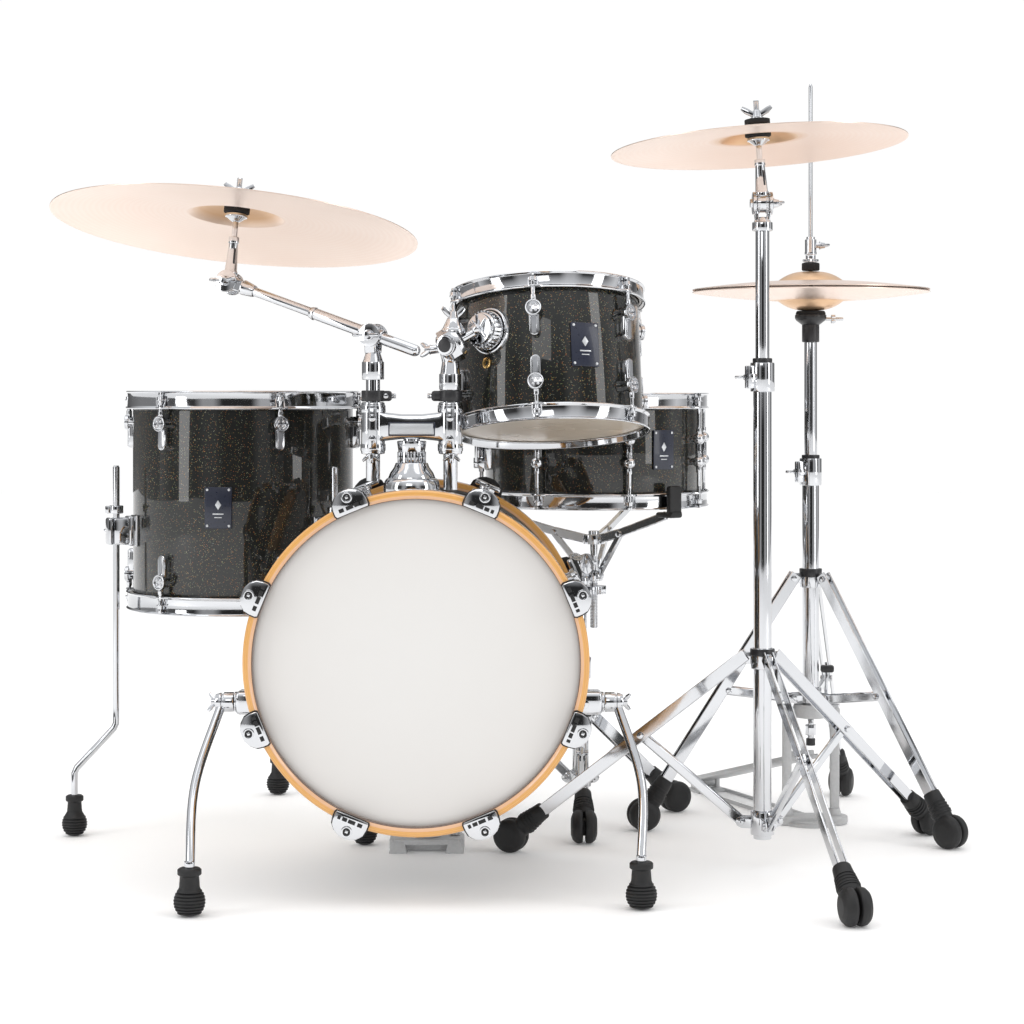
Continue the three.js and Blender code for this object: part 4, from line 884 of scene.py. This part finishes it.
def tongue(piece, place, radius, height, double):
    """An ear on a collar: one tongue, or two cheeks with a pin."""
    for y in ((-5.6, 5.6) if double else (0,)):
        thick = 2.4 if double else 7.6
        ear = [(13.5, -8), (radius, -8), (radius + 6, -5), (radius + 8, 0), (radius + 6, 5), (radius, 8),
               (13.5, 8)]
        piece.add(plate(ear, -thick / 2, thick / 2, 0.8), place @ at(0, y, height) @ FRONT)
    if double:
        piece.add(stack((4.4, -9, -6.6), (3, -6.6, 6.6), (4.4, 6.6, 9), sides=20), place
                  @ at(radius, 0, height) @ FRONT)


# ---------- Holder on the bass drum ----------
MAST = at(-14, HOLDER_Y)
socket = chrome("mast_flange_and_collar", "base", "mast_socket")
socket.add(lathe([(11.6, 506.5), (38, 506.5), (38, 526), (36.4, 532), (33, 536), (11.6, 536)], 64, 1.6,
                 loop=True), MAST)
socket.add(lathe([(11.6, 534), (32.6, 534), (29, 543), (24, 550), (21.4, 556.5), (11.6, 556.5)], 12, 1.2,
                 loop=True), MAST)
for i in range(24):
    socket.add(slab((3.4, 2.8, 15), (17.6, 0, 564), 0.8, 1), MAST @ around(15 * i))
socket.add(pipe(11.6, 17, 556, 572, 48, 1.2), MAST)
for i in range(4):
    socket.add(stack((3.4, 524, 530.5), (2, 530.5, 531.4), sides=6), MAST @ around(45 + 90 * i, 34))
socket.done()
mast = chrome("tom_holder_crossbar", "mast", "tom_mast")
mast.add(stack((11, 412, 590), sides=40), MAST)
waist = [(-48, -21), (-36, -19), (-14, -16.5), (14, -16.5), (36, -19), (48, -21), (48, 21), (36, 19),
         (14, 16.5), (-14, 16.5), (-36, 19), (-48, 21)]
mast.add(plate(waist, -13, 13, 3.2), MAST @ at(0, 0, 605) @ FRONT)
mast.add(stack((17, 566, 586, 20), sides=40, ease=2), MAST)
for side, x in ((-1, -66), (1, 38)):
    spot = at(x, HOLDER_Y)
    mast.add(pipe(10, 16, 568, 638, 44, 2.4), spot)
    mast.add(pipe(10, 17, 572, 582, 44, 1.2), spot)
    mast.add(pipe(10, 17, 624, 634, 44, 1.2), spot)
    mast.add(slab((12, 9, 56), (0, -14.5, 603), 2.4), spot)
    for z in (589, 617):
        mast.add(stack((5, 17, 20.4), (3.2, 20.4, 21.2), sides=24), spot @ at(0, 0, z) @ FRONT)
    mast.add(stack((3, 556, 570), sides=16), spot @ at(side * 2, -13))
    mast.add(wing_nut(4.4, 8, 12), spot @ at(side * 2, -13, 569) @ FLIP)
mast.done()
name_face = Piece("holder_blank_plate", "mast", "chrome", MARK)
name_face.add(slab((58, 2.4, 15), (-13.5, -218.2, 602), 0.8))
name_face.done()
name_rim = Piece("holder_plate_rim", "mast", "badge_plate", ENAMEL)
for z in (593.6, 610.4):
    name_rim.add(slab((62, 3, 1.6), (-13.5, -218.4, z), 0.5))
for x in (-44, 17):
    name_rim.add(slab((1.6, 3, 18.4), (x, -218.4, 602), 0.5))
name_rim.done()

RIDE_AXIS = Vector((0.38040608, 0.92481956, 0))
RIDE_TOP = Vector((-66, HOLDER_Y, 728))
post = chrome("ride_post_tube", "ride_post", "ride_post")
post.add(stack((9.5, 532, 700), sides=40), at(-66, HOLDER_Y))
post.add(stack((15, 668, 692), (14, 692, 707, 9), sides=40, ease=2), at(-66, HOLDER_Y))
fork(post, RIDE_TOP, RIDE_AXIS, (-66, HOLDER_Y, 703))
post_lock = Piece("ride_post_lock", "ride_post", "black_plastic", MOULDED)
memory_lock(post_lock, post, at(-66, HOLDER_Y), 638.8, 9.8, 0)
post.done()
post_lock.done()

BOOM_END = Vector((-269, -121, 803))
boom_line = (BOOM_END - RIDE_TOP).normalized()
boom = chrome("boom_tube", "boom", "boom_arm")
knuckle(boom, RIDE_TOP, RIDE_AXIS)
boom.rod(RIDE_TOP - boom_line * 65, RIDE_TOP + boom_line * 96, 8, sides=36)
boom.rod(RIDE_TOP + boom_line * 92, RIDE_TOP + boom_line * 100, 9.4, 7.4, sides=36, ease=1.4)
boom.rod(RIDE_TOP + boom_line * 96, BOOM_END - boom_line * 23, 6.3, sides=32)
boom.rod(BOOM_END - boom_line * 42, BOOM_END - boom_line * 22, 8, 11, sides=32, ease=2)
boom.add(ball(8, 28), Matrix.Translation(RIDE_TOP - boom_line * 65))
boom.rod(RIDE_TOP - boom_line * 15, RIDE_TOP + boom_line * 20, 11, 9.4, sides=36, ease=2)
TILT_AXIS = Vector((0.32358894, 0.9322219, -0.16202631))
fork(boom, BOOM_END, TILT_AXIS, BOOM_END - boom_line * 24)
boom.done()
RIDE_UP = Vector((0.0805, 0.1435, 0.9864)).normalized()
tilter("ride_tilter_rod", "ride_tilter", "ride_tilter", BOOM_END, TILT_AXIS, RIDE_UP, 110)
cymbal("ride_cymbal", "ride_cymbal", "ride_cymbal", BOOM_END + RIDE_UP * 110, RIDE_UP, 254, 66, 17, 17)

# ---------- Tom post, its ball housing and the tom's bracket ----------
BALL = Vector((42, HOLDER_Y, 716))
bracket = TOM_PLACE @ around(-130, 126, 28) @ RIGHT
bracket_end = bracket @ Vector((0, 0, 24))
mouth = aim(BALL, bracket_end - BALL)
tom_post = chrome("tom_post_tube", "tom_post", "tom_post")
tom_post.add(stack((9.5, 520, 698), sides=40), at(38, HOLDER_Y))
tom_post.add(stack((15, 654, 676), (13.5, 676, 696, 10.5), sides=40, ease=2), at(38, HOLDER_Y))
cup = [(0, -19), (15, -19), (20, -15.5), (22, -9), (22, 6), (19.5, 11.5), (13, 13.6), (11.4, 12),
       (11.4, 8.4), (13.8, 1), (12.6, -6), (8.6, -11), (0, -13.9)]
tom_post.add(lathe(cup, 48, 0.8), mouth)
tom_post.rod((38, HOLDER_Y, 690), (39, HOLDER_Y, 703), 11, 15, sides=36, ease=1.6)
tom_post.add(lathe([(21, -13), (25, -13), (25, 5), (21, 5)], 8, 1.2, loop=True), mouth)
socket_eye = aim(BALL, (-0.42, -0.9, -0.08))
tom_post.add(stack((14, 17, 24), (12.6, 24, 27), sides=40, ease=1.2), socket_eye)
tom_post.rod((42, HOLDER_Y, 731), (42, HOLDER_Y, 738), 17, 15, sides=36, ease=1.6)
tom_post.rod((42, HOLDER_Y, 737), (42, HOLDER_Y, 751), 14.6, 8, sides=36, ease=1.4)
tom_post.add(wing_nut(6.5, 12, 17), at(42, HOLDER_Y, 750) @ Matrix.Rotation(0.35, 4, "Z"))
tom_post.rod((26, -212, 710), (10, -214, 708), 6, sides=28)
tom_post.add(wing_nut(5.5, 10, 15), at(12, -213.8, 708.2) @ LEFT @ Matrix.Rotation(0.9, 4, "Z"))
tom_lock = Piece("tom_post_lock", "tom_post", "black_plastic", MOULDED)
memory_lock(tom_lock, tom_post, at(38, HOLDER_Y), 638.8, 9.8, 180)
tom_post.done()
tom_lock.add(lathe([(11.6, 9), (14.5, 9), (14.5, 14.4), (11.6, 15)], 40, 0.7, loop=True), mouth)
tom_lock.add(stack((9.4, 26, 27.8), sides=36, ease=0.4), socket_eye)
tom_lock.done()
tom_arm = chrome("tom_bracket_and_ball", "tom")
tom_arm.add(stack((27, -4, 6), (25.6, 6, 18, 23.4), (21, 18, 24), sides=48, ease=1.2), bracket)
for i in range(28):
    tom_arm.add(slab((2.6, 2.4, 14), (24.8, 0, 11), 0.8, 1), bracket @ around(360 / 28 * i))
for turn in (0.785, -0.785):
    tom_arm.add(slab((36, 5, 3), (0, 0, 24.6), 1.2), bracket @ Matrix.Rotation(turn, 4, "Z"))
tom_arm.add(lathe([(28, -3), (33, -3), (31.6, 3), (29, 4)], 48, 0.8, loop=True), bracket)
tom_arm.rod(bracket @ Vector((0, 0, 20)), BALL, 5.5, sides=28)
tom_arm.rod(bracket_end, bracket_end + (BALL - bracket_end) * 0.2, 9, 6.4, sides=28, ease=1.2)
tom_arm.add(ball(13, 32), Matrix.Translation(BALL))
tom_arm.done()

# ---------- Floor tom legs ----------
leg_brackets = chrome("floor_leg_brackets", "base")
for index, azimuth in enumerate((203, 84, -41), 1):
    spot = at(-285, 185) @ around(azimuth)
    leg = chrome(f"floor_leg_{index}_rod", f"floor_leg_{index}", f"floor_leg_{index}")
    path = [(257, 34), (257, 60), (256.9, 92), (253.5, 99.5), (226, 127), (198.5, 154.5), (195.2, 162),
            (195, 190), (195, 541)]
    leg.add(bent([spot @ Vector((r, 0, z)) for r, z in path], 5, 20))
    leg.add(stack((4, 541, 543), sides=20), spot @ at(195, 0))
    leg.add(pipe(5, 10.5, 472, 484, 28, 1.4), spot @ at(195, 0))
    leg.add(slab((10, 8, 11), (206, 0, 478), 1.6), spot)
    leg.done()
    rubber = Piece(f"floor_leg_{index}_foot", f"floor_leg_{index}", "black_rubber", RUBBER)
    rubber.add(ribbed_foot(18.6, 9.6 if index == 3 else 13), spot @ at(257, 0))
    rubber.done()
    facing = FRONT @ FLIP if index == 2 else FRONT
    leg_brackets.add(plate([(-23, -15), (23, -15), (23, 15), (-23, 15)], 0, 5, 1.6), spot
                     @ at(164.6, 0, 446) @ RIGHT)
    for side in (-1, 1):
        leg_brackets.add(slab((28, 7.4, 40), (187, side * 9, 446), 3), spot)
    leg_brackets.add(slab((12, 26, 44), (174, 0, 446), 3), spot)
    leg_brackets.add(slab((8, 22, 40), (205, 0, 446), 3), spot)
    leg_brackets.add(stack((8, 12.6, 18), sides=32), spot @ at(190, 0, 446) @ facing)
    leg_brackets.add(wing_nut(5.5, 11, 17), spot @ at(190, 17 if index == 2 else -17, 446) @ facing)
leg_brackets.done()

# ---------- Bass drum spurs and lift ----------
spur_mounts = chrome("spur_brackets", "base")
for side, name, foot_x, foot_y in ((-1, "spur_left", 280, -446), (1, "spur_right", 284, -407)):
    spur_mounts.add(slab((52, 38, 30), (side * 213, -300, 247), 6, 3))
    spur_mounts.add(slab((12, 54, 44), (side * 196, -300, 248), 5, 3))
    spur_mounts.rod((side * 236, -300, 247), (side * 240.6, -300, 247), 13.5, sides=36)
    spur_mounts.rod((side * 215, -318, 247), (side * 215, -323, 247), 6, sides=24)
    spur = chrome(name + "_leg", name, name)
    foot = Vector((side * foot_x, foot_y, 0))
    knee = (side * (foot_x + 3), (-300 + foot_y) / 2, 150.7)
    spur.add(bent(smooth_path([(side * 257, -300, 247), knee, (foot.x, foot_y + 4, 60),
                               (foot.x, foot_y, 30)], 10), 6, 24))
    spur.add(stack((13, -7.5, 6), (11, 6, 8.5), sides=40, ease=1.4), at(side * 257, -300, 247)
             @ (RIGHT if side > 0 else LEFT) @ at(0, 0, -8))
    spur.rod((side * 258, -300, 247), (side * 266, -300, 247), 12.6, 10, sides=36, ease=1.2)
    spur.add(wing_nut(5, 8, 14), at(side * 265, -300, 247) @ (RIGHT if side > 0 else LEFT)
             @ Matrix.Rotation(0.6, 4, "Z"))
    spur.add(stack((6.6, 58, 68), sides=28), Matrix.Translation(foot))
    spur.add(stack((3.2, 0, 6), sides=16), Matrix.Translation(foot))
    spur.done()
    cap = Piece(name + "_foot", name, "black_rubber", RUBBER)
    cap.add(ribbed_foot(20, 15), Matrix.Translation(foot))
    cap.done()
spur_mounts.done()
lift = Piece("bass_lift_cradle", "base", "cast_grey", CAST, ["bass_lift"])
lift.add(slab((92, 13, 8), (0, -45, 16), 2))
for side in (-1, 1):
    lift.add(plate([(side * 27, 0), (side * 53, 0), (side * 49, 18), (side * 31, 18)][::side], -36, 36, 2),
             at(0, -16, 0) @ FRONT)
lift.add(slab((106, 42, 18), (0, -13, 10), 3))
lift.add(slab((26, 22, 66), (0, -19, 50), 4))
lift.add(lathe([(13, 20), (20, 20), (15, 34), (13, 34)], 32, 1, loop=True), at(0, -19))
lift.add(plate([(31 * math.sin(a), 309 - 219.9 * math.cos(a / 6.6))
                for a in (-1.5, -1, -0.5, 0, 0.5, 1, 1.5)] + [(29, 82), (-29, 82)], -20, 20, 1.2),
         at(0, -17, 0) @ FRONT)
for side in (-1, 1):
    lift.add(stack((7, 20, 24), (4, 24, 26), sides=24), at(side * 40, -12))
lift.done()

# ---------- Crash stand ----------
CRASH_AT = at(464, -149)
crash_base = chrome("crash_lower_tube", "crash_base", "crash_base_tube")
crash_base.add(pipe(10.05, 12.5, 40, 692, 48, 0.8), CRASH_AT)
split_clamp(crash_base, CRASH_AT, 12.4, 16.5, 652, 692, 205)
crash_base.add(pipe(12.4, 16.5, 46, 78, 44, 1.4), CRASH_AT)
crash_base.add(stack((10, 40, 44), sides=36), CRASH_AT)
collar = chrome("crash_leg_collar", "crash_collar", "crash_collar")
collar.add(pipe(12.95, 16.5, 273, 301, 44, 1.4), CRASH_AT)
for k, azimuth in enumerate((162, 42, -78), 1):
    spot = CRASH_AT @ around(azimuth)
    tongue(crash_base, spot, 28.5, 62, True)
    tongue(collar, spot, 28.5, 287, False)
    leg = chrome(f"crash_leg_{k}_strips", f"crash_leg_{k}", f"crash_leg_{k}")
    rubber = Piece(f"crash_leg_{k}_foot", f"crash_leg_{k}", "black_rubber", RUBBER)
    leg_strips(leg, rubber, spot, 28.5, 287, 362, [(171.16, 174.5)])
    leg.done()
    rubber.done()
    brace = chrome(f"crash_brace_{k}_bar", f"crash_brace_{k}", f"crash_brace_{k}")
    brace_bar(brace, spot, (28.5, 62), (171.16, 174.5))
    brace.done()
crash_base.done()
collar_ring = Piece("crash_collar_sleeve", "crash_collar", "black_plastic", MOULDED)
collar_ring.add(pipe(13, 16.9, 291, 300.6, 44, 1), CRASH_AT)
collar_ring.add(stack((6, 15, 22), sides=20), CRASH_AT @ around(102, 0, 281) @ RIGHT)
collar_ring.done()
collar.done()
bush = Piece("crash_tube_bushing", "crash_base", "black_plastic", MOULDED)
bush.add(pipe(10.1, 13.4, 688, 698, 44, 1.2), CRASH_AT)
bush.done()
CRASH_PIVOT = Vector((464, -149, 910))
CRASH_AXIS = Vector((-1, 0, 0))
upper = chrome("crash_upper_pipe", "crash_upper", "crash_upper_tube")
upper.add(stack((9.5, 602, 886), sides=44), CRASH_AT)
upper.add(stack((14, 872, 884), (12, 884, 891, 9), sides=40, ease=1.6), CRASH_AT)
fork(upper, CRASH_PIVOT, CRASH_AXIS, (464, -149, 886))
upper.done()
CRASH_UP = Vector((-0.0584, 0.0462, 0.9972)).normalized()
tilter("crash_tilter_rod", "crash_tilter", "crash_tilter", CRASH_PIVOT, CRASH_AXIS, CRASH_UP, 104)
cymbal("crash_cymbal", "crash_cymbal", "crash_cymbal", CRASH_PIVOT + CRASH_UP * 104, CRASH_UP, 203, 55, 15,
       12)

# ---------- Hi-hat ----------
HAT_AT = at(572, 181)
hat = chrome("hat_lower_tube", "base", "hat_base")
hat.add(pipe(10.05, 12.5, 174, 552, 48, 0.8), HAT_AT)
split_clamp(hat, HAT_AT, 12.4, 16.5, 511, 552, 205)
hat.add(pipe(12.4, 16.5, 357, 385, 44, 1.4), HAT_AT)
hat.add(pipe(12.4, 16.5, 183, 206, 44, 1.4), HAT_AT)
for side in (-1, 1):
    hat.add(stack((8, 176, 181), sides=6), HAT_AT @ at(side * 36, 0))
hat.add(stack((3, 176, 244), sides=20), HAT_AT @ at(24, 0))
for k, azimuth in enumerate((192, 72, -48), 1):
    spot = HAT_AT @ around(azimuth)
    tongue(hat, spot, 28.5, 371, False)
    tongue(hat, spot, 28.5, 191, True)
    leg = chrome(f"hat_leg_{k}_strips", "base", f"hat_leg_{k}")
    rubber = Piece(f"hat_leg_{k}_foot", "base", "black_rubber", RUBBER)
    leg_strips(leg, rubber, spot, 28.5, 371, 261, [(131, 205), (28.5, 371)])
    brace_bar(leg, spot, (28.5, 191), (131, 205))
    leg.done()
    rubber.done()
hat.done()
hat_black = Piece("hat_tube_fittings", "base", "black_plastic", MOULDED)
hat_black.add(pipe(10.1, 13.4, 548, 557, 44, 1.2), HAT_AT)
hat_black.add(pipe(12.5, 17, 373, 385.6, 44, 1), HAT_AT)
hat_black.add(slab((20, 13, 11), (25, 0, 234), 3), HAT_AT)
hat_black.done()
casting = Piece("hat_casting", "base", "cast_grey", CAST, ["hat_base"])
casting.add(plate(stadium(40, 112), 0, 13.6, 3), HAT_AT @ QUARTER)
casting.add(stack((41, 0, 5), (38, 5, 7.4), sides=64), HAT_AT)
casting.add(pipe(12.6, 26, 161, 181, 48, 3), HAT_AT)
for side in (-1, 1):
    casting.add(slab((22, 16, 15), (side * 33, 0, 169), 4), HAT_AT)
    casting.add(slab((14, 12, 156), (side * 36, 0, 88), 3.4), HAT_AT)
    casting.add(stack((11, 12, 24, 8), sides=32), HAT_AT @ at(side * 36, 0))
heel = HAT_AT @ around(114, 330)
for y in (-24, 24):
    casting.add(slab((284, 6, 5), (-158, y, 2.5), 1.4), heel)
casting.add(slab((46, 58, 4), (-7, 0, 2), 1.4), heel)
for y in (-20, 20):
    casting.add(slab((14, 8, 20), (0, y, 11), 2.4), heel)
casting.rod(heel @ Vector((0, -23, 14)), heel @ Vector((0, 23, 14)), 3)
casting.done()


def footboard(name, body, node, heel_place, wide, long, rise):
    """A tread rising from its heel hinge: ribs across it, edges along it and a toe stop."""
    board = Piece(name, body, "cast_grey", CAST, [node])
    start, end = Vector((2, 0, 5)), Vector((long, 0, rise + 5))
    tread = heel_place @ aim(start, end - start, (0, 1, 0))
    length = (end - start).length
    board.add(slab((wide, 5.4, length - 14), (0, 0, length / 2 + 7), 2), tread)
    board.add(slab((wide - 34, 5.4, 22), (0, 0, 10), 1.6), tread)
    for i in range(int((length - 50) / 13)):
        board.add(slab((wide - 16, 1.8, 4.6), (0, 3.2, 30 + 13 * i), 0.7), tread)
    for side in (-1, 1):
        board.add(slab((3, 4, length - 18), (side * (wide / 2 - 2.2), 2.6, length / 2 + 8), 1.2), tread)
    board.add(slab((wide - 12, 10, 4), (0, 6, length - 5), 1.6), tread)
    board.add(pipe(3.7, 8, -wide / 2 + 15, wide / 2 - 15, 32, 1), heel_place @ FRONT)
    return board.done()


footboard("hat_tread", "hat_footboard", "hat_footboard", heel @ at(0, 0, 14)
          @ Matrix.Rotation(math.pi, 4, "Z"), 58, 308, 78)
hat_upper = chrome("hat_upper_pipe", "hat_upper", "hat_upper_tube")
hat_upper.add(pipe(4.3, 9.5, 452, 752, 44, 0.8), HAT_AT)
hat_upper.add(stack((2.6, 0, 30), sides=16), HAT_AT @ at(19, 0, 762) @ RIGHT)
hat_upper.add(toothed(6.5, 1, 14, 12, 18), HAT_AT @ at(19, 0, 762) @ RIGHT)
hat_upper.done()
hat_seat = Piece("hat_seat_cup", "hat_upper", "black_plastic", MOULDED)
hat_seat.add(pipe(9.5, 13, 727, 754, 44, 1.4), HAT_AT)
hat_seat.add(lathe([(4.4, 753), (13, 753), (22, 760), (23.6, 763), (23.6, 768.6), (4.4, 768.6)], 48, 1.2,
                   loop=True), HAT_AT)
hat_seat.done()
seat_felt = Piece("hat_seat_felt", "hat_upper", "black_felt", FELT)
seat_felt.add(lathe([(4.4, 768.8), (23, 768.8), (21, 774.3), (4.4, 774.3)], 48, 1.6, loop=True), HAT_AT)
seat_felt.done()
cymbal("hat_bottom_cymbal", "hat_upper", "hat_bottom_cymbal", HAT_AT @ Vector((0, 0, 776.2)), (0, 0, -1),
       178, 50, 15, 12)
cymbal("hat_top_cymbal", "hat_pull", "hat_top_cymbal", HAT_AT @ Vector((0, 0, 832.3)), (0, 0, 1), 178, 50,
       15, 12)
pull = chrome("hat_pull_rod_and_clutch", "hat_pull", "hat_pull_rod")
pull.add(stack((3, 122, 1112), (3, 1112, 1117, 1.6), sides=24), HAT_AT)
pull.add(stack((8, 134, 150), sides=6), HAT_AT)
pull.add(stack((5, 128, 134), (4.6, 150, 158), sides=24), HAT_AT)
pull.add(stack((10, 847.5, 852), (7.4, 852, 859), (9, 859, 863), (8.6, 863, 882), (6.4, 882, 886),
               sides=36), HAT_AT)
pull.add(toothed(12, 1, 20, 848.4, 852), HAT_AT)
pull.add(stack((4, 7, 14), sides=20), HAT_AT @ at(0, 0, 873) @ RIGHT)
pull.add(wing_nut(5, 10, 16), HAT_AT @ at(13, 0, 873) @ RIGHT @ QUARTER)
pull.done()
pull_felt = Piece("hat_clutch_felt", "hat_pull", "black_felt", FELT)
pull_felt.add(pipe(3, 13.4, 834.9, 846.8, 40, 2), HAT_AT)
pull_felt.done()
pull_clip = Piece("hat_pull_coupling", "hat_pull", "black_plastic", MOULDED)
pull_clip.add(stack((7, 118.4, 129), sides=28), HAT_AT)
pull_clip.done()

# ---------- Snare stand and basket ----------
SNARE_AT = at(225, 199)
stand = chrome("snare_stand_tube", "base", "snare_stand_base")
stand_rubber = Piece("snare_stand_feet", "base", "black_rubber", RUBBER)
stand.add(pipe(10.05, 12.5, 46, 250, 48, 0.8), SNARE_AT)
split_clamp(stand, SNARE_AT, 12.4, 16.5, 218, 250, 215)
stand.add(pipe(12.4, 16.5, 54, 78, 44, 1.4), SNARE_AT)
stand.add(pipe(12.4, 16.5, 146, 171, 44, 1.4), SNARE_AT)
for azimuth in (-90, 30, 150):
    spot = SNARE_AT @ around(azimuth)
    leg_strips(stand, stand_rubber, spot, 22, 159, 172, [(82, 117), (22, 159)])
    tongue(stand, spot, 22, 157, False)
    tongue(stand, spot, 22, 66, True)
    brace_bar(stand, spot, (20, 68), (82, 117))
stand.done()
stand_rubber.done()
stand_black = Piece("snare_stand_bushings", "base", "black_plastic", MOULDED)
stand_black.add(pipe(10.1, 13.4, 246, 256, 44, 1.2), SNARE_AT)
stand_black.add(pipe(12.5, 17, 160, 171.6, 44, 1), SNARE_AT)
stand_black.done()
BASKET_PIVOT = Vector((225, 199, 392))
BASKET_AXIS = Vector((0.752577, -0.658505, 0))
snare_post = chrome("snare_post_pipe", "snare_post", "snare_post")
snare_post.add(stack((9.5, 180, 366), sides=44), SNARE_AT)
snare_post.add(stack((15, 360, 370), (13, 370, 374, 10), sides=40, ease=1.4), SNARE_AT)
fork(snare_post, BASKET_PIVOT, BASKET_AXIS, (225, 199, 370))
snare_post.done()
basket = chrome("snare_basket_frame", "snare", "snare_basket")
basket_rubber = Piece("snare_basket_tips", "snare", "black_rubber", RUBBER)
knuckle(basket, BASKET_PIVOT, BASKET_AXIS)
toward = Vector((21, 24, 0))
basket.rod(BASKET_PIVOT + toward * 0.3, BASKET_PIVOT + toward, 6, sides=24)
basket.add(thread(6, 292, 364, 2.2, 24), SNARE_CENTRE)
basket.add(stack((5.6, 362, 435), sides=28), SNARE_CENTRE)
basket.add(stack((17, 420, 434), (8, 434, 440), sides=40), SNARE_CENTRE)
basket.add(stack((14, 364, 378), sides=40), SNARE_CENTRE)
basket.add(toothed(19, 1.4, 28, 344, 356), SNARE_CENTRE)
for azimuth in (-52, 68, 172):
    arm = SNARE_CENTRE @ around(azimuth)
    side = arm.to_3x3() @ Vector((0, 1, 0))
    basket.bar(arm @ Vector((10, 0, 427)), arm @ Vector((62, 0, 439)), 14, 7, side, 1.6)
    basket.bar(arm @ Vector((58, 0, 438)), arm @ Vector((166, 0, 470)), 13, 7, side, 1.6)
    basket.bar(arm @ Vector((10, 0, 371)), arm @ Vector((62, 0, 437)), 10, 7, side, 1.6)
    for r, z in ((62, 438), (14, 427), (12, 372)):
        basket.add(stack((5, -6, 6), sides=20), arm @ at(r, 0, z) @ FRONT)
    basket_rubber.add(slab((34, 24, 8), (172, 0, 471), 3), arm)
    basket_rubber.add(slab((9.6, 24, 46), (183, 0, 491), 3.4), arm)
    basket_rubber.add(slab((11, 20, 4), (184.4, 0, 474), 1.4), arm)
basket.done()
basket_rubber.done()

# ---------- Bass drum pedal ----------
frame_cast = Piece("pedal_frame_casting", "base", "cast_grey", CAST, ["pedal_frame"])
frame_cast.add(slab((66, 305, 5), (0, 180.5, 2.5), 1.6))
frame_cast.add(slab((84, 30, 7.6), (0, 72, 4), 2))
post_outline = [(-12, 0), (12, 0), (8, 40), (7.4, 112), (6, 128), (-6, 128), (-7.4, 112), (-8, 40)]
for side in (-1, 1):
    post = at(side * 37.6, 72) @ QUARTER @ FRONT
    frame_cast.add(plate(post_outline, -4.4, 4.4, 1.4), post)
    frame_cast.add(pipe(5.8, 12.6, -4.4, 4.4, 40, 1.2), post @ at(0, 135.4, 0))
    frame_cast.add(slab((8, 20, 22), (side * 24, 324, 11), 2.4))
frame_cast.rod((-25, 322, 14), (25, 322, 14), 3)
frame_cast.done()
footboard("pedal_tread", "pedal_footboard", "pedal_footboard", at(0, 322, 14)
          @ Matrix.Rotation(-math.pi / 2, 4, "Z"), 66, 224, 70)
beater = chrome("pedal_beater_shaft", "pedal_beater", "pedal_beater")
AXLE = at(0, 72, 135)
beater.add(stack((5, -41, 41), sides=32), AXLE @ RIGHT)
beater.add(toothed(22, 3, 18, -8, -2), AXLE @ RIGHT)
beater.add(toothed(22, 3, 18, 2, 8), AXLE @ RIGHT)
beater.add(stack((17, -10, 10), sides=40), AXLE @ RIGHT)
LEAN = AXLE @ Matrix.Rotation(math.radians(-30), 4, "X")
beater.add(slab((16, 16, 22), (0, 0, 20), 3), LEAN)
beater.add(stack((4, 0, 184), sides=24), LEAN)
beater.add(stack((7, 146, 156), sides=28), LEAN)
beater.done()
pad = Piece("pedal_beater_head", "pedal_beater", "black_felt", PAD)
pad.add(stack((19, -20, -13), (20, -13, 18), (17, 18, 26), sides=44, ease=2.4), LEAN @ at(0, 0, 172) @ FRONT)
pad.done()

# ---------- Floor ----------
ground = bmesh.new()
bmesh.ops.create_grid(ground, x_segments=1, y_segments=1, size=12)
floor_mesh = bpy.data.meshes.new("studio_floor")
ground.to_mesh(floor_mesh)
ground.free()
FLOOR = Finish("studio_floor", (0.93, 0.93, 0.93), 0.7)
FLOOR.set("Base Color", FLOOR.mix(FLOOR.noise(3.0), (0.975, 0.975, 0.975, 1), (0.99, 0.99, 0.99, 1)))
FLOOR.set("Emission Color", (1, 1, 1, 1))
FLOOR.set("Emission Strength", 0.07)
floor_mesh.materials.append(FLOOR.material)
floor = bpy.data.objects.new("studio_floor", floor_mesh)
scene.collection.objects.link(floor)
